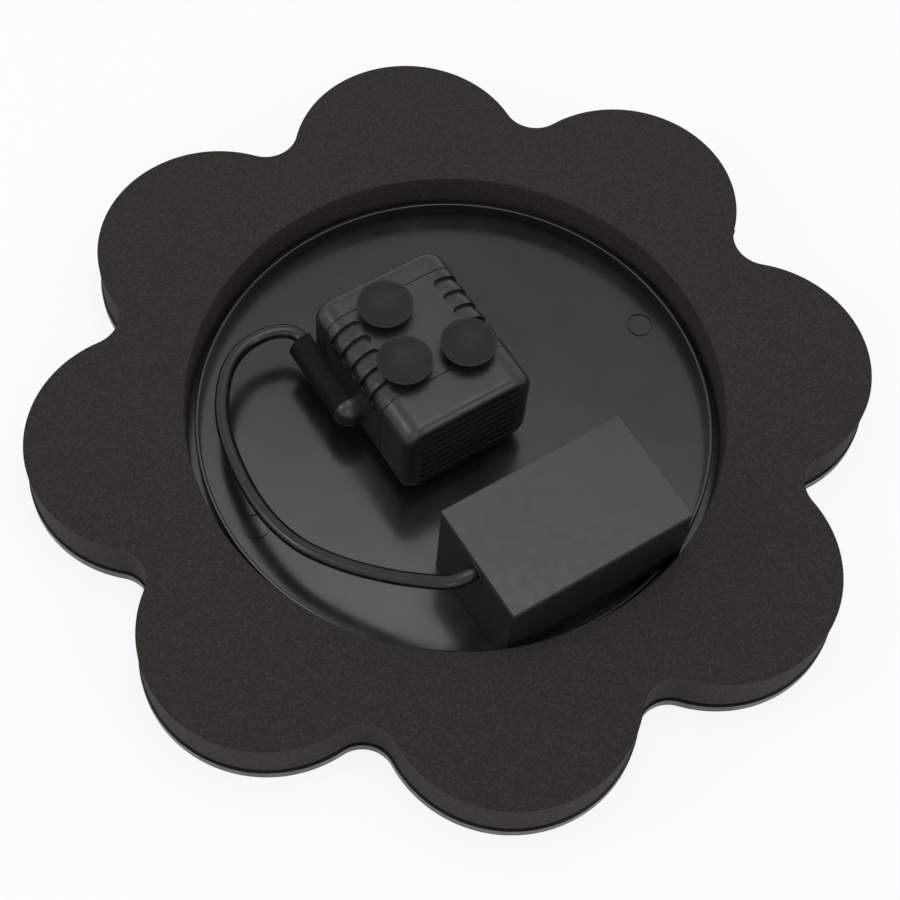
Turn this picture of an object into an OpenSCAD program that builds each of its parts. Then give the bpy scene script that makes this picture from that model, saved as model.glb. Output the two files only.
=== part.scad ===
// Floating solar fountain, lying on its solar face with the service side up.
// The origin is the centre of the face that it lies on. +X runs along the battery box,
// the pump's rotor lies along Y with its strainer towards the box, and +Z points up.

/* [Flower] */
// Number of petals
petals = 8; // [7:1:10]
// Radius of each foam petal
petal_r = 33.6; // [32:0.2:36]
// Distance from the centre to a petal's centre
petal_ring_r = 83.4; // [81:0.2:86]
// Radius of the hollow between two petals
notch_r = 9.2; // [7:0.2:12]
// How far the deck stands proud of the foam
deck_lip = 0.6; // [0.2:0.1:1.5]

/* [Deck and foam] */
// Thickness of the deck plate
deck_t = 3; // [2.6:0.1:4]
// Thickness of the foam ring
foam_t = 14; // [10:0.5:20]
// Thickness of the glue between deck and foam
glue_t = 0.5; // [0.3:0.1:1]
// How far the glue stays back from the foam's edges
glue_inset = 4; // [2:0.5:6]
// Radius of the foam's round opening
opening_r = 74; // [73.6:0.1:77]

/* [Solar panel] */
// Radius of the panel
panel_r = 64.4; // [64.2:0.1:66]
// Width of the lip that holds the panel in the deck's window
window_lip_w = 1.9; // [1:0.1:3]
// Height of the lip that holds the panel in the deck's window
window_lip_h = 0.8; // [0.6:0.1:1.2]
// Thickness of the clear cover sheet
cover_t = 0.6; // [0.4:0.1:0.8]
// Thickness of the cells
cell_sheet_t = 0.3; // [0.2:0.05:0.4]
// Thickness of the backing board
board_t = 1.0; // [0.6:0.1:1]
// Rows of cells on each half
cell_rows = 5; // [3:2:7]
// Gap between two cells
cell_gap = 1.5; // [1:0.1:3]
// Distance of the cells from the panel's edge
cell_margin = 3.4; // [2:0.1:8]

/* [Tray] */
// Radius of the tray's flange
flange_r = 73.6; // [73.4:0.1:73.8]
// Thickness of the tray's floor
floor_t = 1.4; // [1.2:0.1:2]
// Outer radius of the upstanding rim
rim_r = 71.7; // [70:0.1:72.5]
// Thickness of the rim
rim_t = 1.2; // [0.8:0.1:1.6]
// Height of the rim over the floor
rim_h = 5.1; // [3:0.1:8]
// Radius of the fillet inside the rim
rim_fillet = 1.2; // [0.6:0.1:4]
// Wall of the central collar
collar_t = 1.9; // [1.5:0.1:2.1]
// Height of the collar over the floor
collar_h = 2.3; // [1.2:0.1:4]
// Radius of an ejector-pin mark
pin_mark_r = 3.6; // [2:0.1:3.6]
// Distance of the ejector-pin marks from the centre
pin_mark_x = 63.2; // [58:0.1:63.2]
// Depth of the ejector-pin marks
pin_mark_d = 0.15; // [0.1:0.05:0.3]

/* [Battery box] */
// Length of the box
box_w = 55; // [53:0.5:55]
// Width of the box
box_d = 34; // [33:0.5:34]
// Height of the box over the tray's floor, with its lid
box_h = 31.6; // [30:0.2:36]
// Wall of the box
box_wall = 2; // [1.6:0.1:2]
// Thickness of the lid
lid_t = 1.2; // [1:0.1:2]
// Distance of the box's far corners from the tray's edge
corner_gap = 0.25; // [0.2:0.01:0.5]
// Height of the cable's entry over the floor
entry_h = 26.3; // [24:0.1:26.4]
// Radius of the moulded cable end in the wall
entry_r = 2.9; // [2.6:0.1:3.5]
// Thickness and width of the cable end's flange inside the wall
entry_flange = 1; // [0.6:0.1:1.2]
// Wall of the lid's rib
lid_rib_t = 1.2; // [0.8:0.1:1.6]
// Height of the lid's rib
lid_rib_h = 1; // [0.6:0.1:1]

/* [Battery cells and board] */
// Room round each cell, across the box
cell_play = 0.4; // [0.3:0.05:0.6]
// Room at each end of the cells
cell_end_play = 0.8; // [0.6:0.05:1.5]
// Radius of the cell's button
button_r = 2.8; // [2:0.1:3.5]
// Height of the cell's button
button_h = 0.8; // [0.5:0.1:1.2]
// Thickness of the nickel strips
tab_t = 0.2; // [0.1:0.05:0.25]
// Width of the nickel strips
tab_w = 6; // [4:0.5:8]
// Thickness of the foam tape
tape_t = 1; // [0.8:0.1:1.4]
// Distance of the control board from the box's end walls
ctrl_end_gap = 2.5; // [1.5:0.1:4]
// Distance of the control board from the box's long walls
ctrl_side_gap = 2; // [1:0.1:3]
// Thickness of the control board
ctrl_t = 1.6; // [1:0.1:2]
// Side of the board's chip
chip_w = 6; // [4:0.5:9]
// Height of the board's chip
chip_h = 1.6; // [1:0.1:3]
// Radius of the board's choke
choke_r = 3.9; // [3:0.1:5]
// Height of the board's choke
choke_h = 4.2; // [3:0.1:6]
// Radius of the board's capacitor
capacitor_r = 2.7; // [2:0.1:4]
// Height of the board's capacitor
capacitor_h = 8; // [6:0.5:9]
// Length of a connector
plug_w = 6.4; // [5:0.1:8]
// Height of a connector
plug_h = 3.2; // [2:0.1:5]
// Depth of the sealing compound
seal_h = 2; // [1.5:0.1:3]
// Radius of the panel's lead
lead_r = 1.4; // [1:0.1:1.8]
// Distance of the panel's lead from the box's middle
lead_x = 14; // [8:0.5:18]

/* [Pump housing] */
// Width of the pump
pump_w = 40; // [39:0.2:42]
// Height of the pump without its suction cups
pump_h = 30.4; // [30.2:0.2:34]
// Radius of the housing's long edges
pump_r = 6.5; // [5:0.1:7]
// Radius of the strainer's front edges
front_edge_r = 2; // [1.5:0.1:3]
// Radius of the rear cap's edges
cap_edge_r = 3.5; // [2:0.1:4.5]
// Wall of the housing
pump_wall = 1.8; // [1.6:0.1:2]
// Length of the middle sleeve
sleeve_l = 28.4; // [28:0.1:30]
// Distance from the outlet's axis to the sleeve's front end
sleeve_lead = 0.6; // [0.2:0.1:1.5]
// Length of the rear cap
cap_l = 7.7; // [7:0.1:12]
// Length of the rear cap's spigot in the sleeve
cap_spigot_l = 1.4; // [1:0.1:1.6]
// Wall of the rear cap's spigot
cap_spigot_t = 1.2; // [0.8:0.1:1.6]
// Louvres on each long edge
louvres = 5; // [4:1:5]
// Spacing of the louvres
louvre_pitch = 5; // [4.4:0.1:5.2]
// Length of a louvre along the pump
louvre_l = 3.4; // [2.5:0.1:4]
// Depth of a louvre
louvre_d = 0.9; // [0.5:0.1:1]
// Distance of a louvre's tip from the middle of the pump
louvre_tip = 11.6; // [11.4:0.1:12.6]
// Distance from the sleeve's rear end to its first louvre
louvre_inset = 2.7; // [1.5:0.1:3]

/* [Strainer] */
// Length of the strainer cover in front of the sleeve
strainer_l = 13; // [11:0.1:15]
// Wall of the strainer cover
strainer_wall = 1.6; // [1.4:0.1:2]
// Slots in the grille
slots = 9; // [5:2:9]
// Spacing of the slots
slot_pitch = 3; // [2.4:0.1:3]
// Height of a slot
slot_h = 1.5; // [0.8:0.1:2]
// Width of the slots
slot_w = 30; // [24:0.5:31]
// Length of the spigot that enters the sleeve
spigot_l = 2.6; // [2:0.1:3]
// Wall of the spigot
spigot_t = 1.1; // [0.9:0.1:1.1]

/* [Pump chamber and spout] */
// Radius inside the pump chamber
chamber_r = 10; // [9.6:0.1:10.2]
// Half the depth inside the chamber
chamber_half = 4; // [3.8:0.1:4.2]
// Wall of the chamber
chamber_wall = 1.5; // [1.3:0.1:1.5]
// Outer radius of the spout
spout_r = 5.5; // [5.3:0.1:5.6]
// Radius of the nozzle's bore in the spout
nozzle_r = 4; // [3.8:0.1:4.1]
// Depth of the nozzle's bore
nozzle_l = 8; // [6:0.1:8.5]
// Radius of the water passage above the nozzle's stop
passage_r = 3.2; // [2.6:0.1:3.4]
// Distance from the rotor's axis to the outlet's axis
spout_offset = 5.1; // [4.6:0.1:5.5]
// Radius of the inlet
inlet_r = 4.8; // [4.4:0.1:6]
// Width of a spoke across the inlet
spoke_w = 1.2; // [1:0.1:1.6]
// Wall of the spokes' hub
spoke_hub_t = 0.9; // [0.6:0.1:1.2]
// Width of the chamber's gasket
gasket_t = 0.8; // [0.6:0.1:1]
// Depth of the gasket's groove
gasket_h = 0.8; // [0.5:0.1:1.2]
// Section radius of the outlet's seal
seal_ring_r = 0.42; // [0.3:0.02:0.46]
// Height of the outlet's seal over the spout's tip
seal_ring_h = 2.1; // [1.5:0.1:3]

/* [Impeller and rotor] */
// Radius of the impeller
impeller_r = 8.8; // [8:0.1:9.2]
// Number of blades
blades = 6; // [5:1:8]
// Thickness of a blade
blade_t = 0.9; // [0.7:0.1:1.2]
// Radius of a blade's curve
blade_curve_r = 8; // [7:0.1:10]
// Thickness of the impeller's disc
disc_t = 1; // [0.8:0.1:1.2]
// Radius of the impeller's hub
hub_r = 3; // [2.4:0.1:3.4]
// Radius of the magnet
magnet_r = 5.6; // [5.2:0.1:5.7]
// Length of the magnet
magnet_l = 14; // [12:0.1:14]
// Radius of the shaft
shaft_r = 1; // [0.8:0.05:1.2]
// Outer radius of the bushes
bush_r = 1.9; // [1.7:0.05:2]
// Gap between the impeller and the chamber's front plate
front_play = 0.8; // [0.4:0.1:1]
// Gap between the impeller and the chamber's back
back_play = 0.6; // [0.4:0.1:1]
// Distance from the chamber's flange to the magnet
magnet_step = 0.5; // [0.3:0.1:0.8]

/* [Stator] */
// Radius inside the rotor well
well_r = 6; // [5.9:0.1:6.2]
// Wall of the rotor well
well_wall = 0.9; // [0.7:0.1:1]
// Length inside the rotor well
well_l = 16.5; // [16.4:0.1:16.8]
// Outer radius of the laminated ring
core_r = 13.2; // [13:0.1:13.3]
// Thickness of the laminated ring
core_ring_t = 2; // [1.6:0.1:2.1]
// Length of the core along the rotor
core_l = 12; // [10:0.1:12]
// Width of a pole
pole_w = 3.6; // [3:0.1:3.8]
// Thickness of a coil's winding
coil_t = 1.5; // [1.2:0.1:1.6]
// Height of a coil along its pole
coil_h = 2.5; // [2:0.1:2.7]
// Gap between a pole's tip and the well
pole_gap = 0.2; // [0.1:0.05:0.4]
// Distance from a pole's tip to its coil
coil_step = 0.5; // [0.3:0.1:0.7]
// Distance from the chamber's flange to the core
core_step = 2.5; // [2.3:0.1:3]
// Length of the rear bush's boss
boss_l = 1.2; // [1:0.1:1.6]
// Thickness of the driver board
driver_t = 1.2; // [0.8:0.1:1.4]
// Gap between the well's end and the driver board
driver_gap = 0.4; // [0.2:0.1:0.5]
// Side of the driver board's chip
driver_chip_w = 5; // [3:0.5:7]
// Height of the driver board's chip
driver_chip_h = 1; // [0.6:0.1:1.2]

/* [Cable gland and cable] */
// Radius of the gland's housing
gland_r = 5; // [4.6:0.1:5.4]
// Distance from the pump's side to the gland's axis
gland_out = 1.3; // [1.1:0.1:2]
// Height of the gland's axis below the middle of the pump
gland_drop = 5.8; // [4.6:0.1:6]
// Length of the gland, with its domed end
gland_l = 28.8; // [24:0.2:30]
// How far the gland reaches past the rear cap
gland_over = 1.3; // [0.5:0.1:2]
// Radius of the moulded cable end in the gland
gland_seal_r = 2.7; // [2.4:0.1:3]
// Length of the moulded cable end in the gland
gland_seal_l = 8; // [6:0.5:8]
// Diameter of the cable
cable_d = 4; // [3.6:0.1:4.4]

/* [Suction cups] */
// Radius of a suction cup's lip
cup_r = 7.6; // [6.5:0.1:7.8]
// Height of a suction cup over the housing
cup_h = 3.6; // [3:0.1:4.5]
// Thickness of the rubber
cup_t = 0.9; // [0.7:0.1:1.1]
// Height of a cup's neck over the housing
cup_neck = 0.5; // [0.4:0.1:0.8]
// Radius of a cup's stem
stem_r = 2.2; // [1.8:0.1:2.4]
// Depth of a stem's socket
stem_socket = 1.2; // [0.8:0.1:1.2]

/* [Clearances] */
// Gap between the pump and the collar that it stands on
seat_gap = 0.3; // [0.2:0.05:0.4]
// Radial gap of a push fit that comes apart
push_gap = 0.1; // [0.08:0.01:0.15]
// Gap of a fit that stays together
fit_gap = 0.1; // [0.05:0.01:0.15]
// Radial running gap on the shaft
run_gap = 0.05; // [0.03:0.01:0.08]
// Gap round the strainer's spigot
spigot_gap = 0.3; // [0.25:0.01:0.35]
// Gap between the spout and the housing's cut-out
cutout_gap = 0.3; // [0.25:0.05:0.5]

/* [Hidden] */
$fn = 72;
// Sides of the rounded housings, and of the cable
soft_fn = 32;
cable_sides = 10;
// Steps of the cable between two points of its route
cable_steps = 2;
// Overrun of every cut
cut = 1;

// Heights above the table
foam_z = deck_t + glue_t;
floor_z = deck_t + floor_t;
cover_z = window_lip_h;
cell_z = cover_z + cover_t;
board_z = cell_z + cell_sheet_t;
bond_z = board_z + board_t;

// Flower
petal_turn = 360/petals;
petal_centre = petal_ring_r*[cos(petal_turn/2), sin(petal_turn/2)];
hollow_ring_r = petal_centre[0] + sqrt(pow(petal_r + notch_r, 2) - pow(petal_centre[1], 2));

// Tray collar and spout
collar_bore_r = spout_r + push_gap;
collar_r = collar_bore_r + collar_t;
panel_hole_r = collar_r + fit_gap;
spout_tip_z = cover_z + fit_gap;

// Solar panel
window_r = panel_r - window_lip_w;
cell_limit_r = panel_r - cell_margin;

// Battery box: its far corners stay inside the tray's edge
box_far_y = sqrt(pow(flange_r - corner_gap, 2) - pow(box_w/2, 2));
box_y = box_d/2 - box_far_y;
box_in_w = box_w - 2*box_wall;
box_in_d = box_d - 2*box_wall;
lid_z = floor_z + box_h - lid_t;
entry_z = floor_z + entry_h;
cell_r = box_in_d/4 - cell_play;
cell_y = cell_r + fit_gap;
cell_end_x = box_in_w/2 - fit_gap - tab_t;
cell_l = box_in_w - 2*cell_end_play - 2*tab_t;
battery_z = lid_z - tape_t - cell_r;
ctrl_z = floor_z + seal_h;
ctrl_w = box_in_w - 2*ctrl_end_gap;
ctrl_d = box_in_d - 2*ctrl_side_gap;

// Pump
pump_x = -spout_offset;
pump_z = floor_z + collar_h + seat_gap + pump_h/2;
pump_top = pump_h/2;
inner_w = pump_w - 2*pump_wall;
inner_h = pump_h - 2*pump_wall;
inner_r = pump_r - pump_wall;
sleeve_front = -sleeve_lead;
sleeve_back = sleeve_front + sleeve_l;
pump_back = sleeve_back + cap_l;
gland_back = pump_back + gland_over;
cutout_r = spout_r + cutout_gap;
cutout_h = pump_wall + spigot_gap + spigot_t + 2*cut;
casing_r = chamber_r + chamber_wall;
casing_back = chamber_half + chamber_wall;
gasket_r = chamber_r + (chamber_wall - gasket_t)/2;
seal_ring_z = spout_tip_z + seal_ring_h;

// Rotor and stator
rotor_bore_r = shaft_r + run_gap;
impeller_back = chamber_half - back_play;
impeller_front = front_play - chamber_half;
magnet_front = casing_back + magnet_step;
well_back = casing_back + well_l;
core_front = casing_back + core_step;
pole_tip_r = well_r + well_wall + pole_gap;
coil_in_r = pole_tip_r + coil_step;
driver_y = well_back + well_wall + driver_gap;
potting_y = driver_y + driver_t;

// Cable: from the gland's rear face round to the box's wall
gland_at = [-pump_w/2 - gland_out, -gland_drop];
cable_route = [
    [-26.4, 36.8, 16.4], [-26.6, 40, 16.4], [-29, 43.1, 16.4], [-34.4, 45, 16.4],
    [-41.6, 44.4, 16.4], [-48.4, 40.6, 16.5], [-54.2, 33.6, 16.6], [-58.6, 24.6, 16.8],
    [-61.1, 13.8, 17], [-62.2, 2.6, 17.6], [-61.6, -8, 18.6], [-58.8, -18.4, 20.2],
    [-53, -28.8, 22.4], [-46, -38, 25], [-39.6, -45, 27.6], [-34.4, -49.6, 29.6],
    [-30.6, -50.9, 30.6], [-27.5, -51, 30.7]
];
cable_out = [0, 1, 0];
cable_in = [1, 0, 0];

// Suction cups: places as shares of the pump's width and of the sleeve's length
cup_shares = [[-0.1, 0.85], [-0.215, 0.235], [0.22, 0.1]];
cup_places = [for (share = cup_shares) [share[0]*pump_w, sleeve_front + share[1]*sleeve_l]];
cup_dome_r = (pow(cup_r, 2) + pow(cup_h - cup_neck, 2))/2/(cup_h - cup_neck);

// Shapes that several pieces share

// Flower outline: round petals joined by round hollows, grown outwards by a margin
module flower(grow) {
    difference() {
        for (i = [0:petals - 1]) rotate(petal_turn*i) {
            translate(petal_centre) circle(petal_r + grow);
            polygon([[0, 0], [petal_centre[0], -petal_centre[1]], [hollow_ring_r, 0], petal_centre]);
        }
        for (i = [0:petals - 1]) rotate(petal_turn*i) translate([hollow_ring_r, 0]) circle(notch_r - grow);
    }
}

// Disc with a hole, from one height up
module washer(outer, inner, from, height) {
    translate([0, 0, from]) difference() {
        cylinder(r = outer, h = height);
        translate([0, 0, -cut]) cylinder(r = inner, h = height + 2*cut);
    }
}

// Block on its own floor, centred in plan
module slab(size, from) {
    translate([-size[0]/2, -size[1]/2, from]) cube(size);
}

// Rectangle with round corners
module rounded_rect(w, h, r) {
    square([w - 2*r, h], center = true);
    square([w, h - 2*r], center = true);
    for (x = [-1, 1], y = [-1, 1]) translate([x*(w/2 - r), y*(h/2 - r)]) circle(r);
}

// Moves a piece from the rotor's axis to its place on the tray
module at_pump() {
    translate([pump_x, 0, pump_z]) children();
}

// Flat shape pulled along +Y from a start; its upward direction is -Z
module along_y(from, length) {
    translate([0, from, 0]) rotate([-90, 0, 0]) linear_extrude(length) children();
}

// Round rod along Y
module rod(r, from, length) {
    translate([0, from, 0]) rotate([-90, 0, 0]) cylinder(r = r, h = length);
}

// Round tube along Y
module pipe(outer, inner, from, length) {
    difference() {
        rod(outer, from, length);
        rod(inner, from - cut, length + 2*cut);
    }
}

// Prism of the pump's inside section, less a gap all round
module inner_section(gap, from, length) {
    along_y(from, length) rounded_rect(inner_w - 2*gap, inner_h - 2*gap, inner_r - gap);
}

// Corner of a housing with a rounded end edge; the rounded end is at its foot
module soft_corner(r, edge, length) {
    arc = [for (a = [0:90/8:90]) [r - edge + edge*sin(a), edge - edge*cos(a)]];
    rotate_extrude($fn = soft_fn) polygon(concat([[0, 0]], arc, [[r, length], [0, length]]));
}

// Housing block with round long edges and one rounded end, the end at its foot
module soft_block(w, h, r, edge, length) {
    hull() for (x = [-1, 1], y = [-1, 1])
        translate([x*(w/2 - r), y*(h/2 - r), 0]) soft_corner(r, edge, length);
}

// Cut-out in the underside that the spout passes through
module spout_cutout() {
    translate([spout_offset, 0, -pump_top - cut]) cylinder(r = cutout_r, h = cutout_h);
}

// Float and deck

module flower_deck() {
    color("#141414") difference() {
        linear_extrude(deck_t) flower(deck_lip);
        rotate_extrude() polygon([
            [0, -cut], [window_r, -cut], [window_r, window_lip_h], [panel_r + fit_gap, window_lip_h],
            [panel_r + fit_gap, deck_t + cut], [0, deck_t + cut]
        ]);
    }
}

module foam_ring() {
    color("#33312d") translate([0, 0, foam_z]) difference() {
        linear_extrude(foam_t) flower(0);
        translate([0, 0, -cut]) cylinder(r = opening_r, h = foam_t + 2*cut);
    }
}

module foam_adhesive() {
    color("#1c1c1a") translate([0, 0, deck_t]) difference() {
        linear_extrude(glue_t) flower(-glue_inset);
        translate([0, 0, -cut]) cylinder(r = opening_r + glue_inset, h = glue_t + 2*cut);
    }
}

// Solar panel

module panel_cover() {
    color("#9fb4c4", 0.5) washer(panel_r, panel_hole_r, cover_z, cover_t);
}

// Strips of cells in rows on both halves, each as long as the round panel allows
module solar_cells() {
    row_h = 2*cell_limit_r/cell_rows;
    strip_h = row_h - cell_gap;
    color("#101a33") for (side = [0, 180], i = [0:cell_rows - 1]) rotate(side) {
        row_y = (i - (cell_rows - 1)/2)*row_h;
        reach = sqrt(pow(cell_limit_r, 2) - pow(abs(row_y) + strip_h/2, 2));
        translate([panel_hole_r + cell_gap, row_y - strip_h/2, cell_z])
            cube([reach - panel_hole_r - cell_gap, strip_h, cell_sheet_t]);
    }
}

module panel_board() {
    color("#2c4a34") washer(panel_r, panel_hole_r, board_z, board_t);
}

module panel_bond() {
    color("#d8d4c8") difference() {
        washer(panel_r - glue_inset, panel_hole_r + glue_inset, bond_z, deck_t - bond_z);
        translate([lead_x, box_y, bond_z - cut]) cylinder(r = lead_r + fit_gap, h = deck_t + cut);
    }
}

module panel_lead() {
    color("#a02020") translate([lead_x, box_y, bond_z]) cylinder(r = lead_r, h = ctrl_z - bond_z);
}

// Tray: floor, upstanding rim with its fillet, and the collar for the pump's spout
module panel_tray() {
    rim_in = rim_r - rim_t;
    color("#161616") difference() {
        union() {
            washer(flange_r, collar_bore_r, deck_t, floor_t);
            washer(rim_r, rim_in - rim_fillet, floor_z, rim_fillet);
            washer(rim_r, rim_in, floor_z, rim_h);
            washer(collar_r, collar_bore_r, cover_z, floor_z + collar_h - cover_z);
        }
        // The fillet's hollow is a ring of round section
        rotate_extrude() translate([rim_in - rim_fillet, floor_z + rim_fillet]) circle(rim_fillet);
        translate([0, box_y, 0])
            slab([box_w + 2*fit_gap, box_d + 2*fit_gap, rim_h + cut], floor_z);
        translate([lead_x, box_y, deck_t - cut]) cylinder(r = lead_r + fit_gap, h = floor_t + 2*cut);
        for (x = [-1, 1]) translate([x*pin_mark_x, 0, floor_z - pin_mark_d])
            cylinder(r = pin_mark_r, h = cut);
    }
}

// Battery box

module battery_box() {
    color("#232323") translate([0, box_y, 0]) difference() {
        slab([box_w, box_d, box_h - lid_t], floor_z);
        slab([box_in_w, box_in_d, box_h + cut], floor_z - cut);
        translate([-box_w/2 - cut, 0, entry_z]) rotate([0, 90, 0])
            cylinder(r = entry_r + fit_gap, h = box_wall + 2*cut);
    }
}

// Lid plate with a rib that registers inside the walls, notched over the cable's end
module box_lid() {
    rib_w = box_in_w - 2*fit_gap;
    rib_d = box_in_d - 2*fit_gap;
    notch_w = 2*(entry_r + entry_flange + fit_gap);
    color("#2b2b2b") translate([0, box_y, 0]) {
        slab([box_w, box_d, lid_t], lid_z);
        difference() {
            slab([rib_w, rib_d, lid_rib_h], lid_z - lid_rib_h);
            slab([rib_w - 2*lid_rib_t, rib_d - 2*lid_rib_t, lid_rib_h + 2*cut], lid_z - lid_rib_h - cut);
            translate([-rib_w/2, 0, 0]) slab([4*lid_rib_t, notch_w, lid_rib_h + cut], lid_z - lid_rib_h - cut);
        }
    }
}

module cable_grommet() {
    color("#1a1a1a") translate([-box_w/2, box_y, entry_z]) rotate([0, 90, 0]) {
        cylinder(r = entry_r, h = box_wall + entry_flange);
        translate([0, 0, box_wall]) cylinder(r = entry_r + entry_flange, h = entry_flange);
    }
}

// Round cell along X with its button at one end
module battery_cell(side, flip) {
    color("#3d6ea5") translate([cell_end_x - cell_l/2, box_y + side*cell_y, battery_z])
        rotate([0, 90*flip, 0]) translate([0, 0, -cell_l/2]) {
            cylinder(r = cell_r, h = cell_l - button_h);
            cylinder(r = button_r, h = cell_l);
        }
}

module cell_tabs() {
    color("#b8b8b0") {
        translate([cell_end_x, box_y - cell_y - tab_w/2, battery_z - tab_w/2])
            cube([tab_t, 2*cell_y + tab_w, tab_w]);
        for (side = [-1, 1])
            translate([cell_end_x - cell_l - tab_t, box_y + side*cell_y - tab_w/2, battery_z - tab_w/2])
                cube([tab_t, tab_w, tab_w]);
    }
}

module cell_tape() {
    color("#e4e0d4") translate([cell_end_x - cell_l/2, box_y, 0])
        slab([cell_l - tab_w, 4*cell_y - tab_w, tape_t], lid_z - tape_t);
}

module control_board() {
    color("#1f5c38") translate([0, box_y, 0]) slab([ctrl_w, ctrl_d, ctrl_t], ctrl_z);
}

// Chip in the middle, choke and capacitor on one side, two connectors on the other
module board_parts() {
    top = ctrl_z + ctrl_t;
    color("#2a2a2a") translate([0, box_y, 0]) {
        slab([chip_w, chip_w, chip_h], top);
        translate([ctrl_w/4, ctrl_d/4, top]) cylinder(r = choke_r, h = choke_h);
        translate([ctrl_w/3, -ctrl_d/4, top]) cylinder(r = capacitor_r, h = capacitor_h);
        for (side = [-1, 1]) translate([plug_w - ctrl_w/2, side*ctrl_d/4, 0])
            slab([plug_w, plug_w, plug_h], top);
    }
}

module box_potting() {
    color("#0e0e0e") translate([0, box_y, 0]) difference() {
        slab([box_in_w - 2*fit_gap, box_in_d - 2*fit_gap, seal_h], floor_z);
        translate([lead_x, 0, floor_z - cut]) cylinder(r = lead_r + fit_gap, h = seal_h + 2*cut);
    }
}

// Pump housing

// Wedge that a louvre cuts: deepest at its rear step, running out to the surface in front
module louvre_wedge() {
    polygon([[0, -louvre_d], [0, cut], [-louvre_l, cut], [-louvre_l, 0]]);
}

// One louvre wrapped round a long edge, from its round tip on top to the start of the flank
module louvre() {
    edge_x = pump_w/2 - pump_r;
    edge_z = pump_top - pump_r;
    intersection() {
        translate([louvre_tip, 0, pump_top]) rotate([90, 0, 90])
            linear_extrude(edge_x - louvre_tip) louvre_wedge();
        translate([louvre_tip + louvre_l/2, -louvre_l/2, edge_z]) {
            cylinder(r = louvre_l/2, h = pump_r + 2*cut);
            translate([0, -louvre_l/2, 0]) cube([pump_w, louvre_l, pump_r + 2*cut]);
        }
    }
    translate([edge_x, 0, edge_z]) rotate([90, 0, 0]) rotate_extrude(angle = 90)
        polygon([[pump_r - louvre_d, 0], [pump_r + cut, 0], [pump_r + cut, louvre_l], [pump_r, louvre_l]]);
}

// Moves a piece from the pump's middle to the gland's axis
module at_gland() {
    translate([gland_at[0], 0, gland_at[1]]) children();
}

// Bore that the cable's moulded end fills
module gland_bore() {
    rod(gland_seal_r + fit_gap, gland_back - gland_seal_l - fit_gap, gland_seal_l + cut + fit_gap);
}

// Cable housing along the pump's left side: a rod with a domed front end and a web to the wall
module gland_housing() {
    dome_y = gland_back - gland_l + gland_r;
    difference() {
        union() {
            rod(gland_r, dome_y, gland_l - gland_r);
            translate([0, dome_y, 0]) sphere(gland_r);
            translate([0, dome_y, -gland_r]) cube([gland_out, gland_l - gland_r, 2*gland_r]);
        }
        translate([gland_out, 0, -gland_r - cut]) cube([gland_r, gland_back + cut, 2*gland_r + 2*cut]);
    }
}

module pump_sleeve() {
    color("#1e1e1e") at_pump() difference() {
        union() {
            along_y(sleeve_front, sleeve_l) rounded_rect(pump_w, pump_h, pump_r);
            at_gland() gland_housing();
        }
        at_gland() gland_bore();
        inner_section(0, sleeve_front - cut, sleeve_l + 2*cut);
        for (i = [0:louvres - 1]) translate([0, sleeve_back - louvre_inset - i*louvre_pitch, 0]) {
            louvre();
            mirror([1, 0, 0]) louvre();
        }
        spout_cutout();
        for (at = cup_places) translate([at[0], at[1], pump_top - stem_socket])
            cylinder(r = stem_r + fit_gap, h = stem_socket + cut);
    }
}

module rear_cap() {
    color("#1e1e1e") at_pump() difference() {
        union() {
            translate([0, pump_back, 0]) rotate([90, 0, 0]) soft_block(pump_w, pump_h, pump_r, cap_edge_r, cap_l);
            inner_section(fit_gap, sleeve_back - cap_spigot_l, cap_spigot_l + pump_wall);
        }
        inner_section(cap_spigot_t, sleeve_back - cap_spigot_l - cut, cap_spigot_l + cap_l - pump_wall + cut);
        at_gland() gland_bore();
    }
}

module gland_seal() {
    color("#181818") at_pump() at_gland() rod(gland_seal_r, gland_back - gland_seal_l, gland_seal_l);
}

// Pump chamber with its flange, the ring round the impeller and the spout with the nozzle's bore
module volute_casing() {
    tip = spout_tip_z - pump_z;
    color("#262626") at_pump() difference() {
        union() {
            inner_section(fit_gap, chamber_half, chamber_wall);
            rod(casing_r, -chamber_half, 2*chamber_half);
            translate([spout_offset, 0, tip]) cylinder(r = spout_r, h = -tip - nozzle_r);
        }
        rod(chamber_r, -chamber_half - cut, 2*chamber_half + cut);
        rod(well_r, 0, casing_back + cut);
        rod(casing_r + fit_gap, -casing_back - cut, chamber_wall + cut);
        pipe(gasket_r + gasket_t, gasket_r, -chamber_half - cut, gasket_h + cut);
        translate([spout_offset, 0, tip - cut]) cylinder(r = nozzle_r, h = nozzle_l + cut);
        translate([spout_offset, 0, tip]) cylinder(r = passage_r, h = -tip);
        translate([spout_offset, 0, seal_ring_z - pump_z]) rotate_extrude()
            translate([spout_r + push_gap/2 - seal_ring_r, 0]) circle(seal_ring_r + fit_gap/2);
    }
}

// Front plate of the chamber: the inlet is three windows between its spokes
module impeller_cover() {
    color("#262626") at_pump() along_y(-casing_back, chamber_wall) difference() {
        circle(casing_r);
        circle(bush_r);
        difference() {
            circle(inlet_r);
            circle(bush_r + spoke_hub_t);
            for (a = [90, 210, 330]) rotate(a) translate([0, -spoke_w/2]) square([inlet_r + cut, spoke_w]);
        }
    }
}

module casing_gasket() {
    color("#3a1414") at_pump() pipe(gasket_r + gasket_t, gasket_r, -chamber_half, gasket_h);
}

module outlet_seal() {
    color("#3a1414") translate([0, 0, seal_ring_z]) rotate_extrude()
        translate([spout_r + push_gap/2 - seal_ring_r, 0]) circle(seal_ring_r);
}

// Motor

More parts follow.
